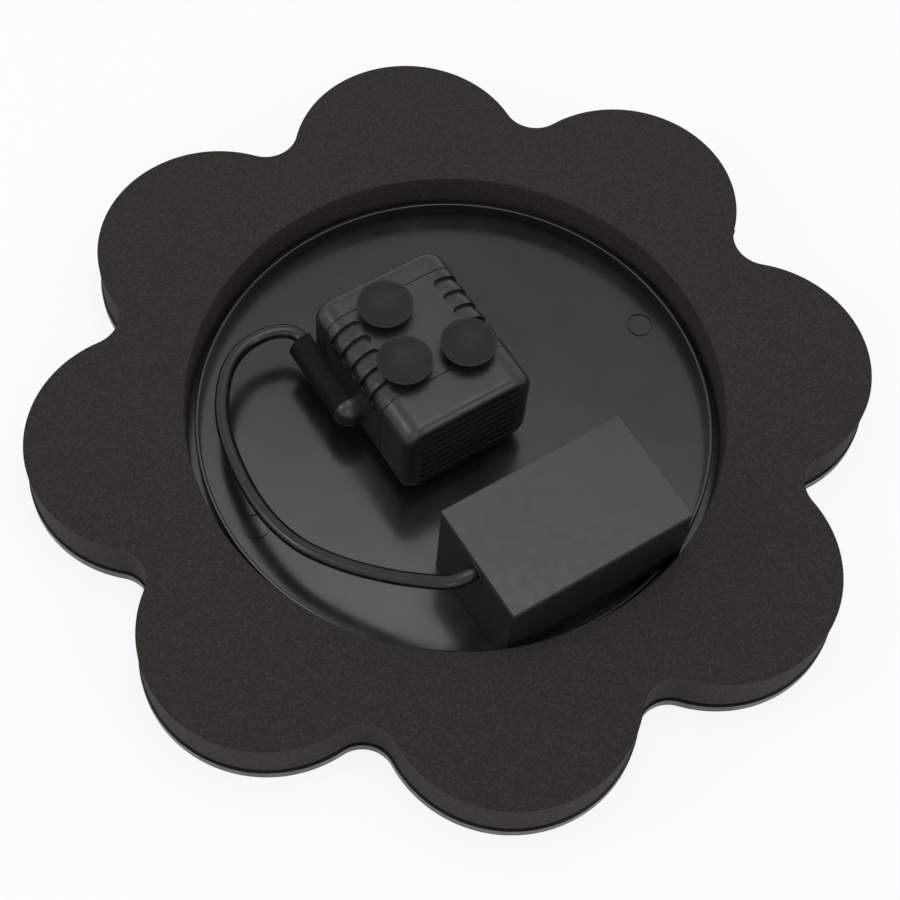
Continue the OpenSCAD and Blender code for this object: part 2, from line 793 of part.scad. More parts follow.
module rotor_well() {
    color("#30302c") at_pump() difference() {
        union() {
            pipe(well_r + well_wall, well_r, casing_back, well_l);
            rod(well_r + well_wall, well_back, well_wall);
            rod(bush_r + well_wall, well_back - boss_l, boss_l);
        }
        rod(bush_r, well_back - boss_l - cut, boss_l + cut);
    }
}

module stator_core() {
    color("#6a6a68") at_pump() {
        pipe(core_r, core_r - core_ring_t, core_front, core_l);
        for (a = [0:90:270]) rotate([0, a, 0])
            translate([pole_tip_r, core_front, -pole_w/2])
                cube([core_r - core_ring_t/2 - pole_tip_r, core_l, pole_w]);
    }
}

// Winding round one pole, pulled outwards along it
module stator_coil(turn) {
    hole_w = pole_w + 2*fit_gap;
    hole_l = core_l + 2*fit_gap;
    color("#b06a30") at_pump() rotate([0, turn, 0]) translate([coil_in_r, core_front + core_l/2, 0])
        rotate([0, 90, 0]) linear_extrude(coil_h) difference() {
            rounded_rect(hole_w + 2*coil_t, hole_l + 2*coil_t, coil_t);
            square([hole_w, hole_l], center = true);
        }
}

module driver_board() {
    color("#1f5c38") at_pump() {
        inner_section(2*fit_gap, driver_y, driver_t);
        translate([-inner_w/3 - driver_chip_w/2, driver_y - driver_chip_h, -inner_h/4])
            cube([driver_chip_w, driver_chip_h, driver_chip_w]);
    }
}

// Sealing compound behind the board, filling the rear cap
module motor_potting() {
    color("#0e0e0e") at_pump() {
        inner_section(fit_gap, potting_y, sleeve_back - cap_spigot_l - potting_y);
        inner_section(cap_spigot_t + fit_gap, potting_y, pump_back - pump_wall - potting_y);
    }
}

module rotor_shaft() {
    color("#e8e6df") at_pump() rod(shaft_r, -casing_back, well_back + casing_back);
}

module front_bush() {
    color("#50504c") at_pump() pipe(bush_r, shaft_r, -casing_back, chamber_wall);
}

module rear_bush() {
    color("#50504c") at_pump() pipe(bush_r, shaft_r, well_back - boss_l, boss_l);
}

// Rubber dish on a stem, hollow side up: a shell between two spheres, cut flat at its lip
module suction_cup(at) {
    color("#2e2e2c") at_pump() translate([at[0], at[1], pump_top]) {
        translate([0, 0, -stem_socket]) cylinder(r = stem_r, h = stem_socket + cup_neck + cup_t/2);
        intersection() {
            translate([0, 0, cup_neck + cup_dome_r]) difference() {
                sphere(cup_dome_r);
                sphere(cup_dome_r - cup_t);
            }
            cylinder(r = cup_r + cut, h = cup_h);
        }
    }
}

// Rotor

module rotor_magnet() {
    color("#4a4a4e") at_pump() pipe(magnet_r, rotor_bore_r, magnet_front, magnet_l);
}

// Disc with curved blades that lean back from the turn
module impeller() {
    color("#d9d6cc") at_pump() difference() {
        union() {
            rod(impeller_r, impeller_back - disc_t, disc_t);
            rod(hub_r, impeller_front, magnet_front - impeller_front);
            intersection() {
                rod(impeller_r, impeller_front, impeller_back - impeller_front);
                for (i = [0:blades - 1]) rotate([0, 360/blades*i, 0]) impeller_blade();
            }
        }
        rod(rotor_bore_r, impeller_front - cut, magnet_front - impeller_front + 2*cut);
    }
}

// One arc of a thin tube, from the hub outwards
module impeller_blade() {
    blade_l = impeller_back - disc_t - impeller_front;
    intersection() {
        translate([hub_r/2, 0, -blade_curve_r]) pipe(blade_curve_r + blade_t/2, blade_curve_r - blade_t/2, impeller_front, blade_l);
        translate([hub_r*0.8, impeller_front, -impeller_r]) cube([impeller_r, blade_l, 2*impeller_r]);
        translate([0, impeller_front, -blade_curve_r]) cube([impeller_r, blade_l, blade_curve_r + impeller_r]);
    }
}

// Strainer

module strainer_cover() {
    front = sleeve_front - strainer_l;
    color("#1e1e1e") at_pump() difference() {
        union() {
            translate([0, front, 0]) rotate([-90, 0, 0])
                soft_block(pump_w, pump_h, pump_r, front_edge_r, strainer_l);
            inner_section(spigot_gap, sleeve_front - strainer_wall, spigot_l + strainer_wall);
        }
        inner_section(spigot_gap + spigot_t, front + strainer_wall, strainer_l + spigot_l);
        for (i = [0:slots - 1])
            translate([-slot_w/2, front - cut, (i - (slots - 1)/2)*slot_pitch - slot_h/2])
                cube([slot_w, strainer_wall + 2*cut, slot_h]);
        spout_cutout();
        translate([spout_offset - cutout_r, 0, -pump_top - cut]) cube([2*cutout_r, spigot_l, cutout_h]);
    }
}

// Cable: a smooth tube through the points of its route

function unit(v) = v/norm(v);
function route_slope(i) =
    i == 0 ? cable_out*norm(cable_route[1] - cable_route[0]) :
    i == len(cable_route) - 1 ? cable_in*norm(cable_route[i] - cable_route[i - 1]) :
    (cable_route[i + 1] - cable_route[i - 1])/2;
function route_point(i, t) =
    (2*pow(t, 3) - 3*pow(t, 2) + 1)*cable_route[i] + (pow(t, 3) - 2*pow(t, 2) + t)*route_slope(i)
    + (3*pow(t, 2) - 2*pow(t, 3))*cable_route[i + 1] + (pow(t, 3) - pow(t, 2))*route_slope(i + 1);
function route_heading(i, t) =
    (6*pow(t, 2) - 6*t)*cable_route[i] + (3*pow(t, 2) - 4*t + 1)*route_slope(i)
    + (6*t - 6*pow(t, 2))*cable_route[i + 1] + (3*pow(t, 2) - 2*t)*route_slope(i + 1);
function cable_ring(at, heading) =
    let (side = unit(cross(heading, [0, 0, 1])), up = unit(cross(side, heading)))
    [for (k = [0:cable_sides - 1])
        at + cable_d/2*(cos(360/cable_sides*k)*side + sin(360/cable_sides*k)*up)];

module pump_cable() {
    last = len(cable_route) - 1;
    rings = concat(
        [for (i = [0:last - 1], s = [0:cable_steps - 1])
            cable_ring(route_point(i, s/cable_steps), route_heading(i, s/cable_steps))],
        [cable_ring(cable_route[last], cable_in)]);
    count = len(rings);
    sides = [for (j = [0:count - 2], k = [0:cable_sides - 1], half = [0, 1])
        let (a = j*cable_sides + k, b = j*cable_sides + (k + 1)%cable_sides,
            c = a + cable_sides, d = b + cable_sides)
        half == 0 ? [a, b, d] : [a, d, c]];
    ends = [[for (k = [cable_sides - 1:-1:0]) k], [for (k = [0:cable_sides - 1]) (count - 1)*cable_sides + k]];
    color("#191919") polyhedron(points = [for (ring = rings) each ring], faces = concat(sides, ends));
}

flower_deck();
foam_ring();
foam_adhesive();
panel_cover();
solar_cells();
panel_board();
panel_bond();
panel_lead();
panel_tray();
battery_box();
box_lid();
cable_grommet();
battery_cell(-1, 1);  // battery_cell_1
battery_cell(1, -1);  // battery_cell_2
cell_tabs();
cell_tape();
control_board();
board_parts();
box_potting();
pump_sleeve();
rear_cap();
gland_seal();
volute_casing();
impeller_cover();
casing_gasket();
outlet_seal();
rotor_well();
stator_core();
stator_coil(0);  // stator_coil_1
stator_coil(90);  // stator_coil_2
stator_coil(180);  // stator_coil_3
stator_coil(270);  // stator_coil_4
driver_board();
motor_potting();
rotor_shaft();
front_bush();
rear_bush();
suction_cup(cup_places[0]);  // suction_cup_1
suction_cup(cup_places[1]);  // suction_cup_2
suction_cup(cup_places[2]);  // suction_cup_3
rotor_magnet();
impeller();
strainer_cover();
pump_cable();
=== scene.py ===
# Floating solar fountain, seen from its service side as it lies on its solar face.
# Each section is one piece or one group of like pieces, in the order the fountain is put together.
import bmesh
import bpy
import math
from mathutils import Matrix, Vector


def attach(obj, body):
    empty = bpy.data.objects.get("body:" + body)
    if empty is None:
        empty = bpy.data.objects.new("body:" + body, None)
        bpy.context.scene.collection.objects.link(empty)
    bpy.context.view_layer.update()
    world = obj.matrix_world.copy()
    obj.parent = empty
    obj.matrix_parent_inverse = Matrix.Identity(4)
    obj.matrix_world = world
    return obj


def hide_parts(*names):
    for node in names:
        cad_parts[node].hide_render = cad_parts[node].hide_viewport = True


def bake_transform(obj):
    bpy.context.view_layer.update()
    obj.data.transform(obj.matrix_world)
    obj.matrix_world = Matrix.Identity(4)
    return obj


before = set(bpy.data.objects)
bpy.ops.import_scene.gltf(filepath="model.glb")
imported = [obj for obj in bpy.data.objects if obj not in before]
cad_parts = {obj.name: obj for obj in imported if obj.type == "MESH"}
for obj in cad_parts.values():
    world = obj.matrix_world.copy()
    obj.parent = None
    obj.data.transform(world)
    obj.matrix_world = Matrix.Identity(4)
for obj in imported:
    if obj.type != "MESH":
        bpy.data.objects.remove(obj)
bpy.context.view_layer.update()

# Studio
# A white paper sweep in a white room, under a soft box overhead that is turned so that its
# edge falls across the tray. Three lights of growing size inside each other fade that edge.
# Two small lights at the left and the front draw bright lines along the rounded edges, and
# a weaker soft box stands behind the photographer.
mm = 0.001
paper_glow_share = 0.86
room_white = 0.93
room_strength = 0.42

camera_data = bpy.data.cameras.new("camera")
camera_data.lens = 75.3
camera_data.sensor_width = 36
camera_data.clip_start = 0.01
camera = bpy.data.objects.new("camera", camera_data)
bpy.context.collection.objects.link(camera)
camera.matrix_world = (
    Matrix.Translation((-0.1563, -0.2051, 0.4619))
    @ Matrix.Rotation(math.radians(-37.20), 4, "Z")
    @ Matrix.Rotation(math.radians(28.56), 4, "X")
    @ Matrix.Rotation(math.radians(5.73), 4, "Z")
)
bpy.context.scene.camera = camera
bpy.context.scene.view_settings.view_transform = "Standard"

bpy.ops.object.select_all(action="DESELECT")
bpy.ops.mesh.primitive_plane_add(size=6, location=(0, 0, -0.0002))
paper = bpy.context.object
paper.name = "paper"
paper_finish = bpy.data.materials.new("paper white")
paper_finish.use_nodes = True
paper_nodes, paper_links = paper_finish.node_tree.nodes, paper_finish.node_tree.links
paper_nodes.remove(paper_nodes["Principled BSDF"])
paper_matte = paper_nodes.new("ShaderNodeBsdfDiffuse")
paper_matte.inputs["Color"].default_value = (0.9, 0.9, 0.9, 1)
paper_glow = paper_nodes.new("ShaderNodeEmission")
paper_seen = paper_nodes.new("ShaderNodeLightPath")
paper_share = paper_nodes.new("ShaderNodeMath")
paper_share.operation = "MAXIMUM"
paper_part = paper_nodes.new("ShaderNodeMath")
paper_part.operation = "MULTIPLY"
paper_part.inputs[1].default_value = paper_glow_share
paper_mix = paper_nodes.new("ShaderNodeMixShader")
paper_links.new(paper_seen.outputs["Is Camera Ray"], paper_share.inputs[0])
paper_links.new(paper_seen.outputs["Is Glossy Ray"], paper_share.inputs[1])
paper_links.new(paper_share.outputs[0], paper_part.inputs[0])
paper_links.new(paper_part.outputs[0], paper_mix.inputs["Fac"])
paper_links.new(paper_matte.outputs[0], paper_mix.inputs[1])
paper_links.new(paper_glow.outputs[0], paper_mix.inputs[2])
paper_links.new(paper_mix.outputs[0], paper_nodes["Material Output"].inputs["Surface"])
paper.data.materials.append(paper_finish)

studio = bpy.data.worlds.new("studio")
bpy.context.scene.world = studio
studio.use_nodes = True
studio_nodes, studio_links = studio.node_tree.nodes, studio.node_tree.links
room_light = studio_nodes["Background"]
room_light.inputs["Color"].default_value = (1, 1, 1, 1)
room_light.inputs["Strength"].default_value = room_strength
room_seen = studio_nodes.new("ShaderNodeBackground")
room_seen.inputs["Color"].default_value = (room_white, room_white, room_white, 1)
room_rays = studio_nodes.new("ShaderNodeLightPath")
room_any = studio_nodes.new("ShaderNodeMath")
room_any.operation = "MAXIMUM"
room_all = studio_nodes.new("ShaderNodeMath")
room_all.operation = "MAXIMUM"
room_mix = studio_nodes.new("ShaderNodeMixShader")
studio_links.new(room_rays.outputs["Is Camera Ray"], room_any.inputs[0])
studio_links.new(room_rays.outputs["Is Glossy Ray"], room_any.inputs[1])
studio_links.new(room_any.outputs[0], room_all.inputs[0])
studio_links.new(room_rays.outputs["Is Transmission Ray"], room_all.inputs[1])
studio_links.new(room_all.outputs[0], room_mix.inputs["Fac"])
studio_links.new(room_light.outputs[0], room_mix.inputs[1])
studio_links.new(room_seen.outputs[0], room_mix.inputs[2])
studio_links.new(room_mix.outputs[0], studio_nodes["World Output"].inputs["Surface"])


def soft_light(name, at, towards, turn, size, power):
    """A square soft box that faces a point, turned about its own axis in degrees"""
    light_data = bpy.data.lights.new(name, "AREA")
    light_data.shape = "SQUARE"
    light_data.size = size
    light_data.energy = power
    light = bpy.data.objects.new(name, light_data)
    bpy.context.collection.objects.link(light)
    facing = Vector(towards) - Vector(at)
    light.matrix_world = (
        Matrix.Translation(at) @ facing.to_track_quat("-Z", "Y").to_matrix().to_4x4()
        @ Matrix.Rotation(math.radians(turn), 4, "Z")
    )


overhead, under_it = (0.08, 0.08, 0.8), (0.08, 0.08, 0)
for light_size, light_level in ((0.36, 7.2), (0.5, 4.2), (0.64, 3.0)):
    soft_light(f"overhead soft box {light_size}", overhead, under_it, 45, light_size,
               light_level*light_size**2)
soft_light("left strip light", (-0.7, 0.28, 0.52), (0, 0, 0.03), 0, 0.26, 1.0)
soft_light("front strip light", (0.28, -0.7, 0.52), (0, 0, 0.03), 0, 0.26, 0.7)
soft_light("front fill", (-0.9, -0.9, 0.7), (0, 0, 0.02), 0, 0.5, 1.5)

# Deck
# The flower-shaped plate that floats uppermost in use. It is injection moulded in black
# ABS, 3 mm thick, with a rounded edge and a stepped window for the solar panel.
petals = 8
petal_radius = 33.6*mm
petal_ring = 83.4*mm
hollow_radius = 9.2*mm
half_turn = math.pi/petals
petal_middle = Vector((petal_ring*math.cos(half_turn), petal_ring*math.sin(half_turn), 0))
hollow_ring = petal_middle.x + math.sqrt((petal_radius + hollow_radius)**2 - petal_middle.y**2)
deck_overhang = 0.6*mm
deck_top = 3*mm
window_radius = 62.5*mm
window_ledge = 64.5*mm
window_lip = 0.8*mm
tool_past = 1*mm


def start_outline(name, at):
    """A new piece that is one point so far, open for drawing"""
    bpy.ops.object.select_all(action="DESELECT")
    bpy.ops.mesh.primitive_plane_add(size=0.001, location=(0, 0, 0), enter_editmode=True)
    piece = bpy.context.object
    piece.name = piece.data.name = name
    bpy.ops.mesh.merge(type="CENTER")
    bpy.ops.mesh.select_all(action="SELECT")
    bpy.ops.transform.translate(value=at)
    return piece


def line_by(x, y, z):
    """Draws a straight line on from the last point"""
    bpy.ops.mesh.extrude_vertices_move(TRANSFORM_OT_translate={"value": (x, y, z)})


def arc_by(turn, centre, axis, steps):
    """Draws on by turning the last point, or pulls a drawn shape round, in degrees"""
    bpy.ops.mesh.spin(steps=steps, angle=-math.radians(turn), center=centre, axis=axis)


def pull(x, y, z):
    """Extrudes what is selected"""
    bpy.ops.mesh.extrude_region_move(TRANSFORM_OT_translate={"value": (x, y, z)})


def close_up(piece):
    """Joins the meeting points and turns every face outwards"""
    bpy.ops.mesh.select_all(action="SELECT")
    bpy.ops.mesh.remove_doubles(threshold=1e-6)
    bpy.ops.mesh.normals_make_consistent(inside=False)
    bpy.ops.object.mode_set(mode="OBJECT")
    return piece


def pick(piece, kind, test):
    """Selects the faces or edges whose place passes a test"""
    bpy.ops.mesh.select_mode(type=kind)
    bpy.ops.mesh.select_all(action="DESELECT")
    mesh = bmesh.from_edit_mesh(piece.data)
    for part in mesh.faces if kind == "FACE" else mesh.edges:
        part.select_set(bool(test(part)))
    bmesh.update_edit_mesh(piece.data)


def finish_edges(piece, width, segments, sharper_than=40):
    """Rounds every sharp edge a little and shades the rest smooth"""
    bpy.ops.object.select_all(action="DESELECT")
    piece.select_set(True)
    bpy.context.view_layer.objects.active = piece
    rounding = piece.modifiers.new("rounded edges", "BEVEL")
    rounding.limit_method = "ANGLE"
    rounding.angle_limit = math.radians(sharper_than)
    rounding.width = width
    rounding.segments = segments
    rounding.use_clamp_overlap = True
    bpy.ops.object.modifier_apply(modifier=rounding.name)
    bpy.ops.object.shade_smooth_by_angle(angle=math.radians(35))
    levelling = piece.modifiers.new("level faces", "WEIGHTED_NORMAL")
    levelling.keep_sharp = True
    bpy.ops.object.modifier_apply(modifier=levelling.name)


def settle(piece, body, slot_name, finish, *nodes):
    """Gives a finished piece its material, its body and the solids that it stands for"""
    piece.data.materials.clear()
    piece.data.materials.append(finish)
    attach(piece, body)
    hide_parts(*nodes)


def new_finish(name, colour, roughness, **values):
    """A shader that holds its plain values on its own sockets"""
    finish = bpy.data.materials.new(name)
    finish.use_nodes = True
    shader = finish.node_tree.nodes["Principled BSDF"]
    shader.inputs["Base Color"].default_value = (*colour, 1)
    shader.inputs["Roughness"].default_value = roughness
    for socket, value in values.items():
        shader.inputs[socket.replace("_", " ")].default_value = value
    finish.diffuse_color = (*colour, 1)
    return finish


def mottle(finish, scale, detail, stretch=(1, 1, 1)):
    """Cloudy pattern fixed to the piece; scale is in clouds a metre"""
    nodes, links = finish.node_tree.nodes, finish.node_tree.links
    place = nodes.new("ShaderNodeTexCoord")
    fit = nodes.new("ShaderNodeMapping")
    fit.inputs["Scale"].default_value = stretch
    noise = nodes.new("ShaderNodeTexNoise")
    noise.inputs["Scale"].default_value = scale
    noise.inputs["Detail"].default_value = detail
    links.new(place.outputs["Object"], fit.inputs["Vector"])
    links.new(fit.outputs["Vector"], noise.inputs["Vector"])
    return noise.outputs["Fac"]


def tint(finish, pattern, stops):
    """Colours the finish from a pattern, by stops of place and colour"""
    nodes, links = finish.node_tree.nodes, finish.node_tree.links
    ramp = nodes.new("ShaderNodeValToRGB")
    ramp.color_ramp.elements[0].position = stops[0][0]
    ramp.color_ramp.elements[0].color = (*stops[0][1], 1)
    ramp.color_ramp.elements[1].position = stops[-1][0]
    ramp.color_ramp.elements[1].color = (*stops[-1][1], 1)
    for place, colour in stops[1:-1]:
        ramp.color_ramp.elements.new(place).color = (*colour, 1)
    links.new(pattern, ramp.inputs["Fac"])
    links.new(ramp.outputs["Color"], nodes["Principled BSDF"].inputs["Base Color"])


def polish(finish, pattern, least, most):
    """Lets the roughness wander between two values"""
    nodes, links = finish.node_tree.nodes, finish.node_tree.links
    spread = nodes.new("ShaderNodeMapRange")
    spread.inputs["From Min"].default_value = 0.3
    spread.inputs["From Max"].default_value = 0.7
    spread.inputs["To Min"].default_value = least
    spread.inputs["To Max"].default_value = most
    links.new(pattern, spread.inputs["Value"])
    links.new(spread.outputs["Result"], nodes["Principled BSDF"].inputs["Roughness"])


def relief(finish, pattern, strength, depth):
    """Raises and sinks the surface by a pattern, on top of what relief it has"""
    nodes, links = finish.node_tree.nodes, finish.node_tree.links
    shader = nodes["Principled BSDF"]
    bump = nodes.new("ShaderNodeBump")
    bump.inputs["Strength"].default_value = strength
    bump.inputs["Distance"].default_value = depth
    if shader.inputs["Normal"].links:
        links.new(shader.inputs["Normal"].links[0].from_socket, bump.inputs["Normal"])
    links.new(pattern, bump.inputs["Height"])
    links.new(bump.outputs["Normal"], shader.inputs["Normal"])


def draw_flower(name, grow, z):
    """Round petals joined by round hollows, drawn as one closed outline of arcs"""
    reach = petal_radius + grow
    towards_hollow = Vector((hollow_ring, 0, 0)) - petal_middle
    start = petal_middle + towards_hollow.normalized()*reach
    hollow_turn = 2*math.degrees(math.atan2(petal_middle.y, hollow_ring - petal_middle.x))
    piece = start_outline(name, (start.x, start.y, z))
    for petal in range(petals):
        turn = 2*half_turn*petal
        middle = Matrix.Rotation(turn, 3, "Z") @ petal_middle
        arc_by(360/petals + hollow_turn, (middle.x, middle.y, z), (0, 0, 1), 48)
        after = turn + 2*half_turn
        hollow = (hollow_ring*math.cos(after), hollow_ring*math.sin(after), z)
        arc_by(-hollow_turn, hollow, (0, 0, 1), 16)
    bpy.ops.mesh.select_all(action="SELECT")
    bpy.ops.mesh.remove_doubles(threshold=1e-6)
    return piece


def carve(piece, tool, operation="DIFFERENCE"):
    """Cuts a tool out of a piece, or joins it on, and throws the tool away"""
    bpy.ops.object.select_all(action="DESELECT")
    piece.select_set(True)
    bpy.context.view_layer.objects.active = piece
    change = piece.modifiers.new("carve", "BOOLEAN")
    change.object = tool
    change.operation = operation
    change.solver = "EXACT"
    bpy.ops.object.modifier_apply(modifier=change.name)
    bpy.data.objects.remove(tool)


def disc(name, radius, low, high):
    """A round disc about the middle of the fountain, as a tool for openings"""
    bpy.ops.object.select_all(action="DESELECT")
    bpy.ops.mesh.primitive_cylinder_add(
        vertices=320, radius=radius, depth=high - low, location=(0, 0, (low + high)/2))
    bpy.context.object.name = name
    return bpy.context.object


deck = draw_flower("deck_plate", deck_overhang, 0)
bpy.ops.mesh.edge_face_add()
pull(0, 0, deck_top)
close_up(deck)
carve(deck, disc("window_tool", window_radius, -tool_past, deck_top + tool_past))
carve(deck, disc("ledge_tool", window_ledge, window_lip, deck_top + tool_past))
finish_edges(deck, 1.0*mm, 4, 50)

deck_finish = new_finish("satin-edged black ABS", (0.012, 0.012, 0.0125), 0.34, Specular_IOR_Level=0.34)
tint(deck_finish, mottle(deck_finish, 60, 4),
     [(0.3, (0.010, 0.010, 0.0105)), (0.7, (0.018, 0.018, 0.0185))])
polish(deck_finish, mottle(deck_finish, 300, 4), 0.28, 0.42)
relief(deck_finish, mottle(deck_finish, 900, 3), 0.1, 0.00004)
settle(deck, "root", "gloss_black", deck_finish, "flower_deck")

# Solar panel
# A round laminate that fills the deck's window: a clear sheet over strips of dark blue
# cells with printed silver lines, on a green board, glued to the tray behind it.
def dress(node, finish):
    """Gives a solid that stays its material"""
    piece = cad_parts[node]
    if not piece.material_slots:
        piece.data.materials.append(finish)
    for holder in piece.material_slots:
        holder.material = finish


clear_finish = new_finish("clear laminate", (0.86, 0.91, 0.94), 0.08, Transmission_Weight=1.0, IOR=1.49)
polish(clear_finish, mottle(clear_finish, 300, 4), 0.04, 0.12)
relief(clear_finish, mottle(clear_finish, 900, 2), 0.06, 0.00003)
dress("panel_cover", clear_finish)


def stripes(finish, axis, pitch, line):
    """1 on thin lines across an axis, fixed to the piece, and 0 between them"""
    nodes, links = finish.node_tree.nodes, finish.node_tree.links
    place = nodes.new("ShaderNodeTexCoord")
    split = nodes.new("ShaderNodeSeparateXYZ")
    count = nodes.new("ShaderNodeMath")
    count.operation = "DIVIDE"
    count.inputs[1].default_value = pitch
    part = nodes.new("ShaderNodeMath")
    part.operation = "FRACT"
    thin = nodes.new("ShaderNodeMath")
    thin.operation = "LESS_THAN"
    thin.inputs[1].default_value = line/pitch
    links.new(place.outputs["Object"], split.inputs[0])
    links.new(split.outputs[axis], count.inputs[0])
    links.new(count.outputs[0], part.inputs[0])
    links.new(part.outputs[0], thin.inputs[0])
    return thin.outputs[0]


def either(finish, first, second):
    """The greater of two patterns"""
    nodes, links = finish.node_tree.nodes, finish.node_tree.links
    larger = nodes.new("ShaderNodeMath")
    larger.operation = "MAXIMUM"
    links.new(first, larger.inputs[0])
    links.new(second, larger.inputs[1])
    return larger.outputs[0]


def blended(finish, first, second, share):
    """A mix of two patterns"""
    nodes, links = finish.node_tree.nodes, finish.node_tree.links
    mixer = nodes.new("ShaderNodeMix")
    mixer.inputs["Factor"].default_value = share
    links.new(first, mixer.inputs["A"])
    links.new(second, mixer.inputs["B"])
    return mixer.outputs["Result"]


finger_pitch, finger_line = 1.6*mm, 0.1*mm
busbar_pitch, busbar_line = 11.2*mm, 0.9*mm
cell_finish = new_finish("silicon with printed lines", (0.012, 0.02, 0.07), 0.25)
printed = either(cell_finish, stripes(cell_finish, "X", finger_pitch, finger_line),
                 stripes(cell_finish, "Y", busbar_pitch, busbar_line))
tint(cell_finish, blended(cell_finish, printed, mottle(cell_finish, 220, 3), 0.25),
     [(0.05, (0.007, 0.012, 0.05)), (0.24, (0.014, 0.026, 0.095)), (0.7, (0.5, 0.5, 0.49))])
polish(cell_finish, mottle(cell_finish, 500, 2), 0.18, 0.3)
dress("solar_cells", cell_finish)

track_pitch, track_line = 2.6*mm, 0.5*mm
board_finish = new_finish("green fibreglass board", (0.02, 0.09, 0.045), 0.4)
tracks = stripes(board_finish, "Y", track_pitch, track_line)
tint(board_finish, blended(board_finish, tracks, mottle(board_finish, 700, 3), 0.5),
     [(0.2, (0.012, 0.06, 0.03)), (0.4, (0.02, 0.1, 0.045)), (0.75, (0.05, 0.2, 0.09))])
relief(board_finish, tracks, 0.3, 0.00004)
polish(board_finish, mottle(board_finish, 800, 2), 0.32, 0.5)
for board in ("panel_board", "control_board", "driver_board"):
    dress(board, board_finish)

bond_finish = new_finish("clear-drying glue", (0.55, 0.53, 0.46), 0.35)
tint(bond_finish, mottle(bond_finish, 130, 5), [(0.35, (0.42, 0.4, 0.33)), (0.65, (0.62, 0.6, 0.53))])
relief(bond_finish, mottle(bond_finish, 240, 3), 0.5, 0.0003)
dress("panel_bond", bond_finish)

lead_finish = new_finish("red lead insulation", (0.35, 0.015, 0.012), 0.4)
tint(lead_finish, mottle(lead_finish, 900, 3, (1, 1, 0.1)),
     [(0.3, (0.26, 0.01, 0.01)), (0.7, (0.42, 0.02, 0.016))])
relief(lead_finish, mottle(lead_finish, 2200, 2, (1, 1, 0.05)), 0.2, 0.00005)
dress("panel_lead", lead_finish)

# Foam ring
# The float: a 14 mm sheet of charcoal closed-cell EVA foam, die-cut to the flower with a
# round opening, and glued to the deck by a layer that stays back from its edges.
foam_low = 3.5*mm
foam_thick = 14*mm
opening = 74*mm


def painted_wall_light(finish, gain, warmth):
    """Paints light onto the upright cut faces: the steeper a face, the lighter its colour, standing in
    for the light that falls on the walls
    """
    nodes, links = finish.node_tree.nodes, finish.node_tree.links
    shader = nodes["Principled BSDF"]
    place = nodes.new("ShaderNodeTexCoord")
    split = nodes.new("ShaderNodeSeparateXYZ")
    level = nodes.new("ShaderNodeMath")
    level.operation = "ABSOLUTE"
    upright = nodes.new("ShaderNodeMapRange")
    upright.inputs["From Min"].default_value = 0.15
    upright.inputs["From Max"].default_value = 0.8
    upright.inputs["To Min"].default_value = 1.0
    upright.inputs["To Max"].default_value = 0.0
    lighten = nodes.new("ShaderNodeMix")
    lighten.data_type = "RGBA"
    lighten.blend_type = "MULTIPLY"
    lighten.inputs["B"].default_value = (*(gain*share for share in warmth), 1)
    links.new(place.outputs["Normal"], split.inputs[0])
    links.new(split.outputs["Z"], level.inputs[0])
    links.new(level.outputs[0], upright.inputs["Value"])
    links.new(upright.outputs["Result"], lighten.inputs["Factor"])
    links.new(shader.inputs["Base Color"].links[0].from_socket, lighten.inputs["A"])
    links.new(lighten.outputs["Result"], shader.inputs["Base Color"])


foam = draw_flower("foam_float", 0, foam_low)
bpy.ops.mesh.edge_face_add()
pull(0, 0, foam_thick)
close_up(foam)
carve(foam, disc("opening_tool", opening, foam_low - tool_past, foam_low + foam_thick + tool_past))
finish_edges(foam, 0.3*mm, 3, 60)

foam_finish = new_finish("charcoal EVA foam", (0.026, 0.024, 0.02), 0.95, Specular_IOR_Level=0.22)
foam_cells = mottle(foam_finish, 1500, 3)
tint(foam_finish, foam_cells,
     [(0.3, (0.0172, 0.0163, 0.0138)), (0.48, (0.0235, 0.0223, 0.0192)),
      (0.6, (0.0302, 0.0288, 0.0252)), (0.74, (0.044, 0.0425, 0.0386))])
# Painted light: the foam's upright walls get a lighter colour than its top, by their slope alone
painted_wall_light(foam_finish, 1.5, (1.05, 1.0, 0.96))
relief(foam_finish, mottle(foam_finish, 1100, 3), 0.5, 0.0002)
relief(foam_finish, mottle(foam_finish, 260, 2), 0.12, 0.0004)
settle(foam, "root", "foam", foam_finish, "foam_ring")

glue_finish = new_finish("black contact glue", (0.04, 0.038, 0.035), 0.6)
tint(glue_finish, mottle(glue_finish, 500, 3),
     [(0.3, (0.03, 0.029, 0.027)), (0.7, (0.05, 0.048, 0.044))])
relief(glue_finish, mottle(glue_finish, 900, 3), 0.6, 0.0002)
dress("foam_adhesive", glue_finish)

# Tray
# A round dish moulded in glossy black ABS and glued to the panel's back: a floor with an
# upstanding rim, a collar that the pump's spout plugs into, the marks of two ejector pins,
# and a cut in the rim for the corners of the battery box.
collar_bore, collar_wall = 5.6*mm, 1.9*mm
collar_low, collar_top = 0.8*mm, 6.7*mm
floor_low, floor_top = 3*mm, 4.4*mm
rim_inside, rim_wall, rim_top = 70.5*mm, 1.2*mm, 9.5*mm
rim_rounding = 0.35*mm
rounded_above = 6*mm
flange = 1.9*mm
pin_at, pin_radius, pin_groove = 63.2*mm, 3.4*mm, 0.4*mm
box_side, box_front, box_back = 27.5*mm, -68*mm, -34*mm
box_room, box_seat = 0.1*mm, 0.02*mm

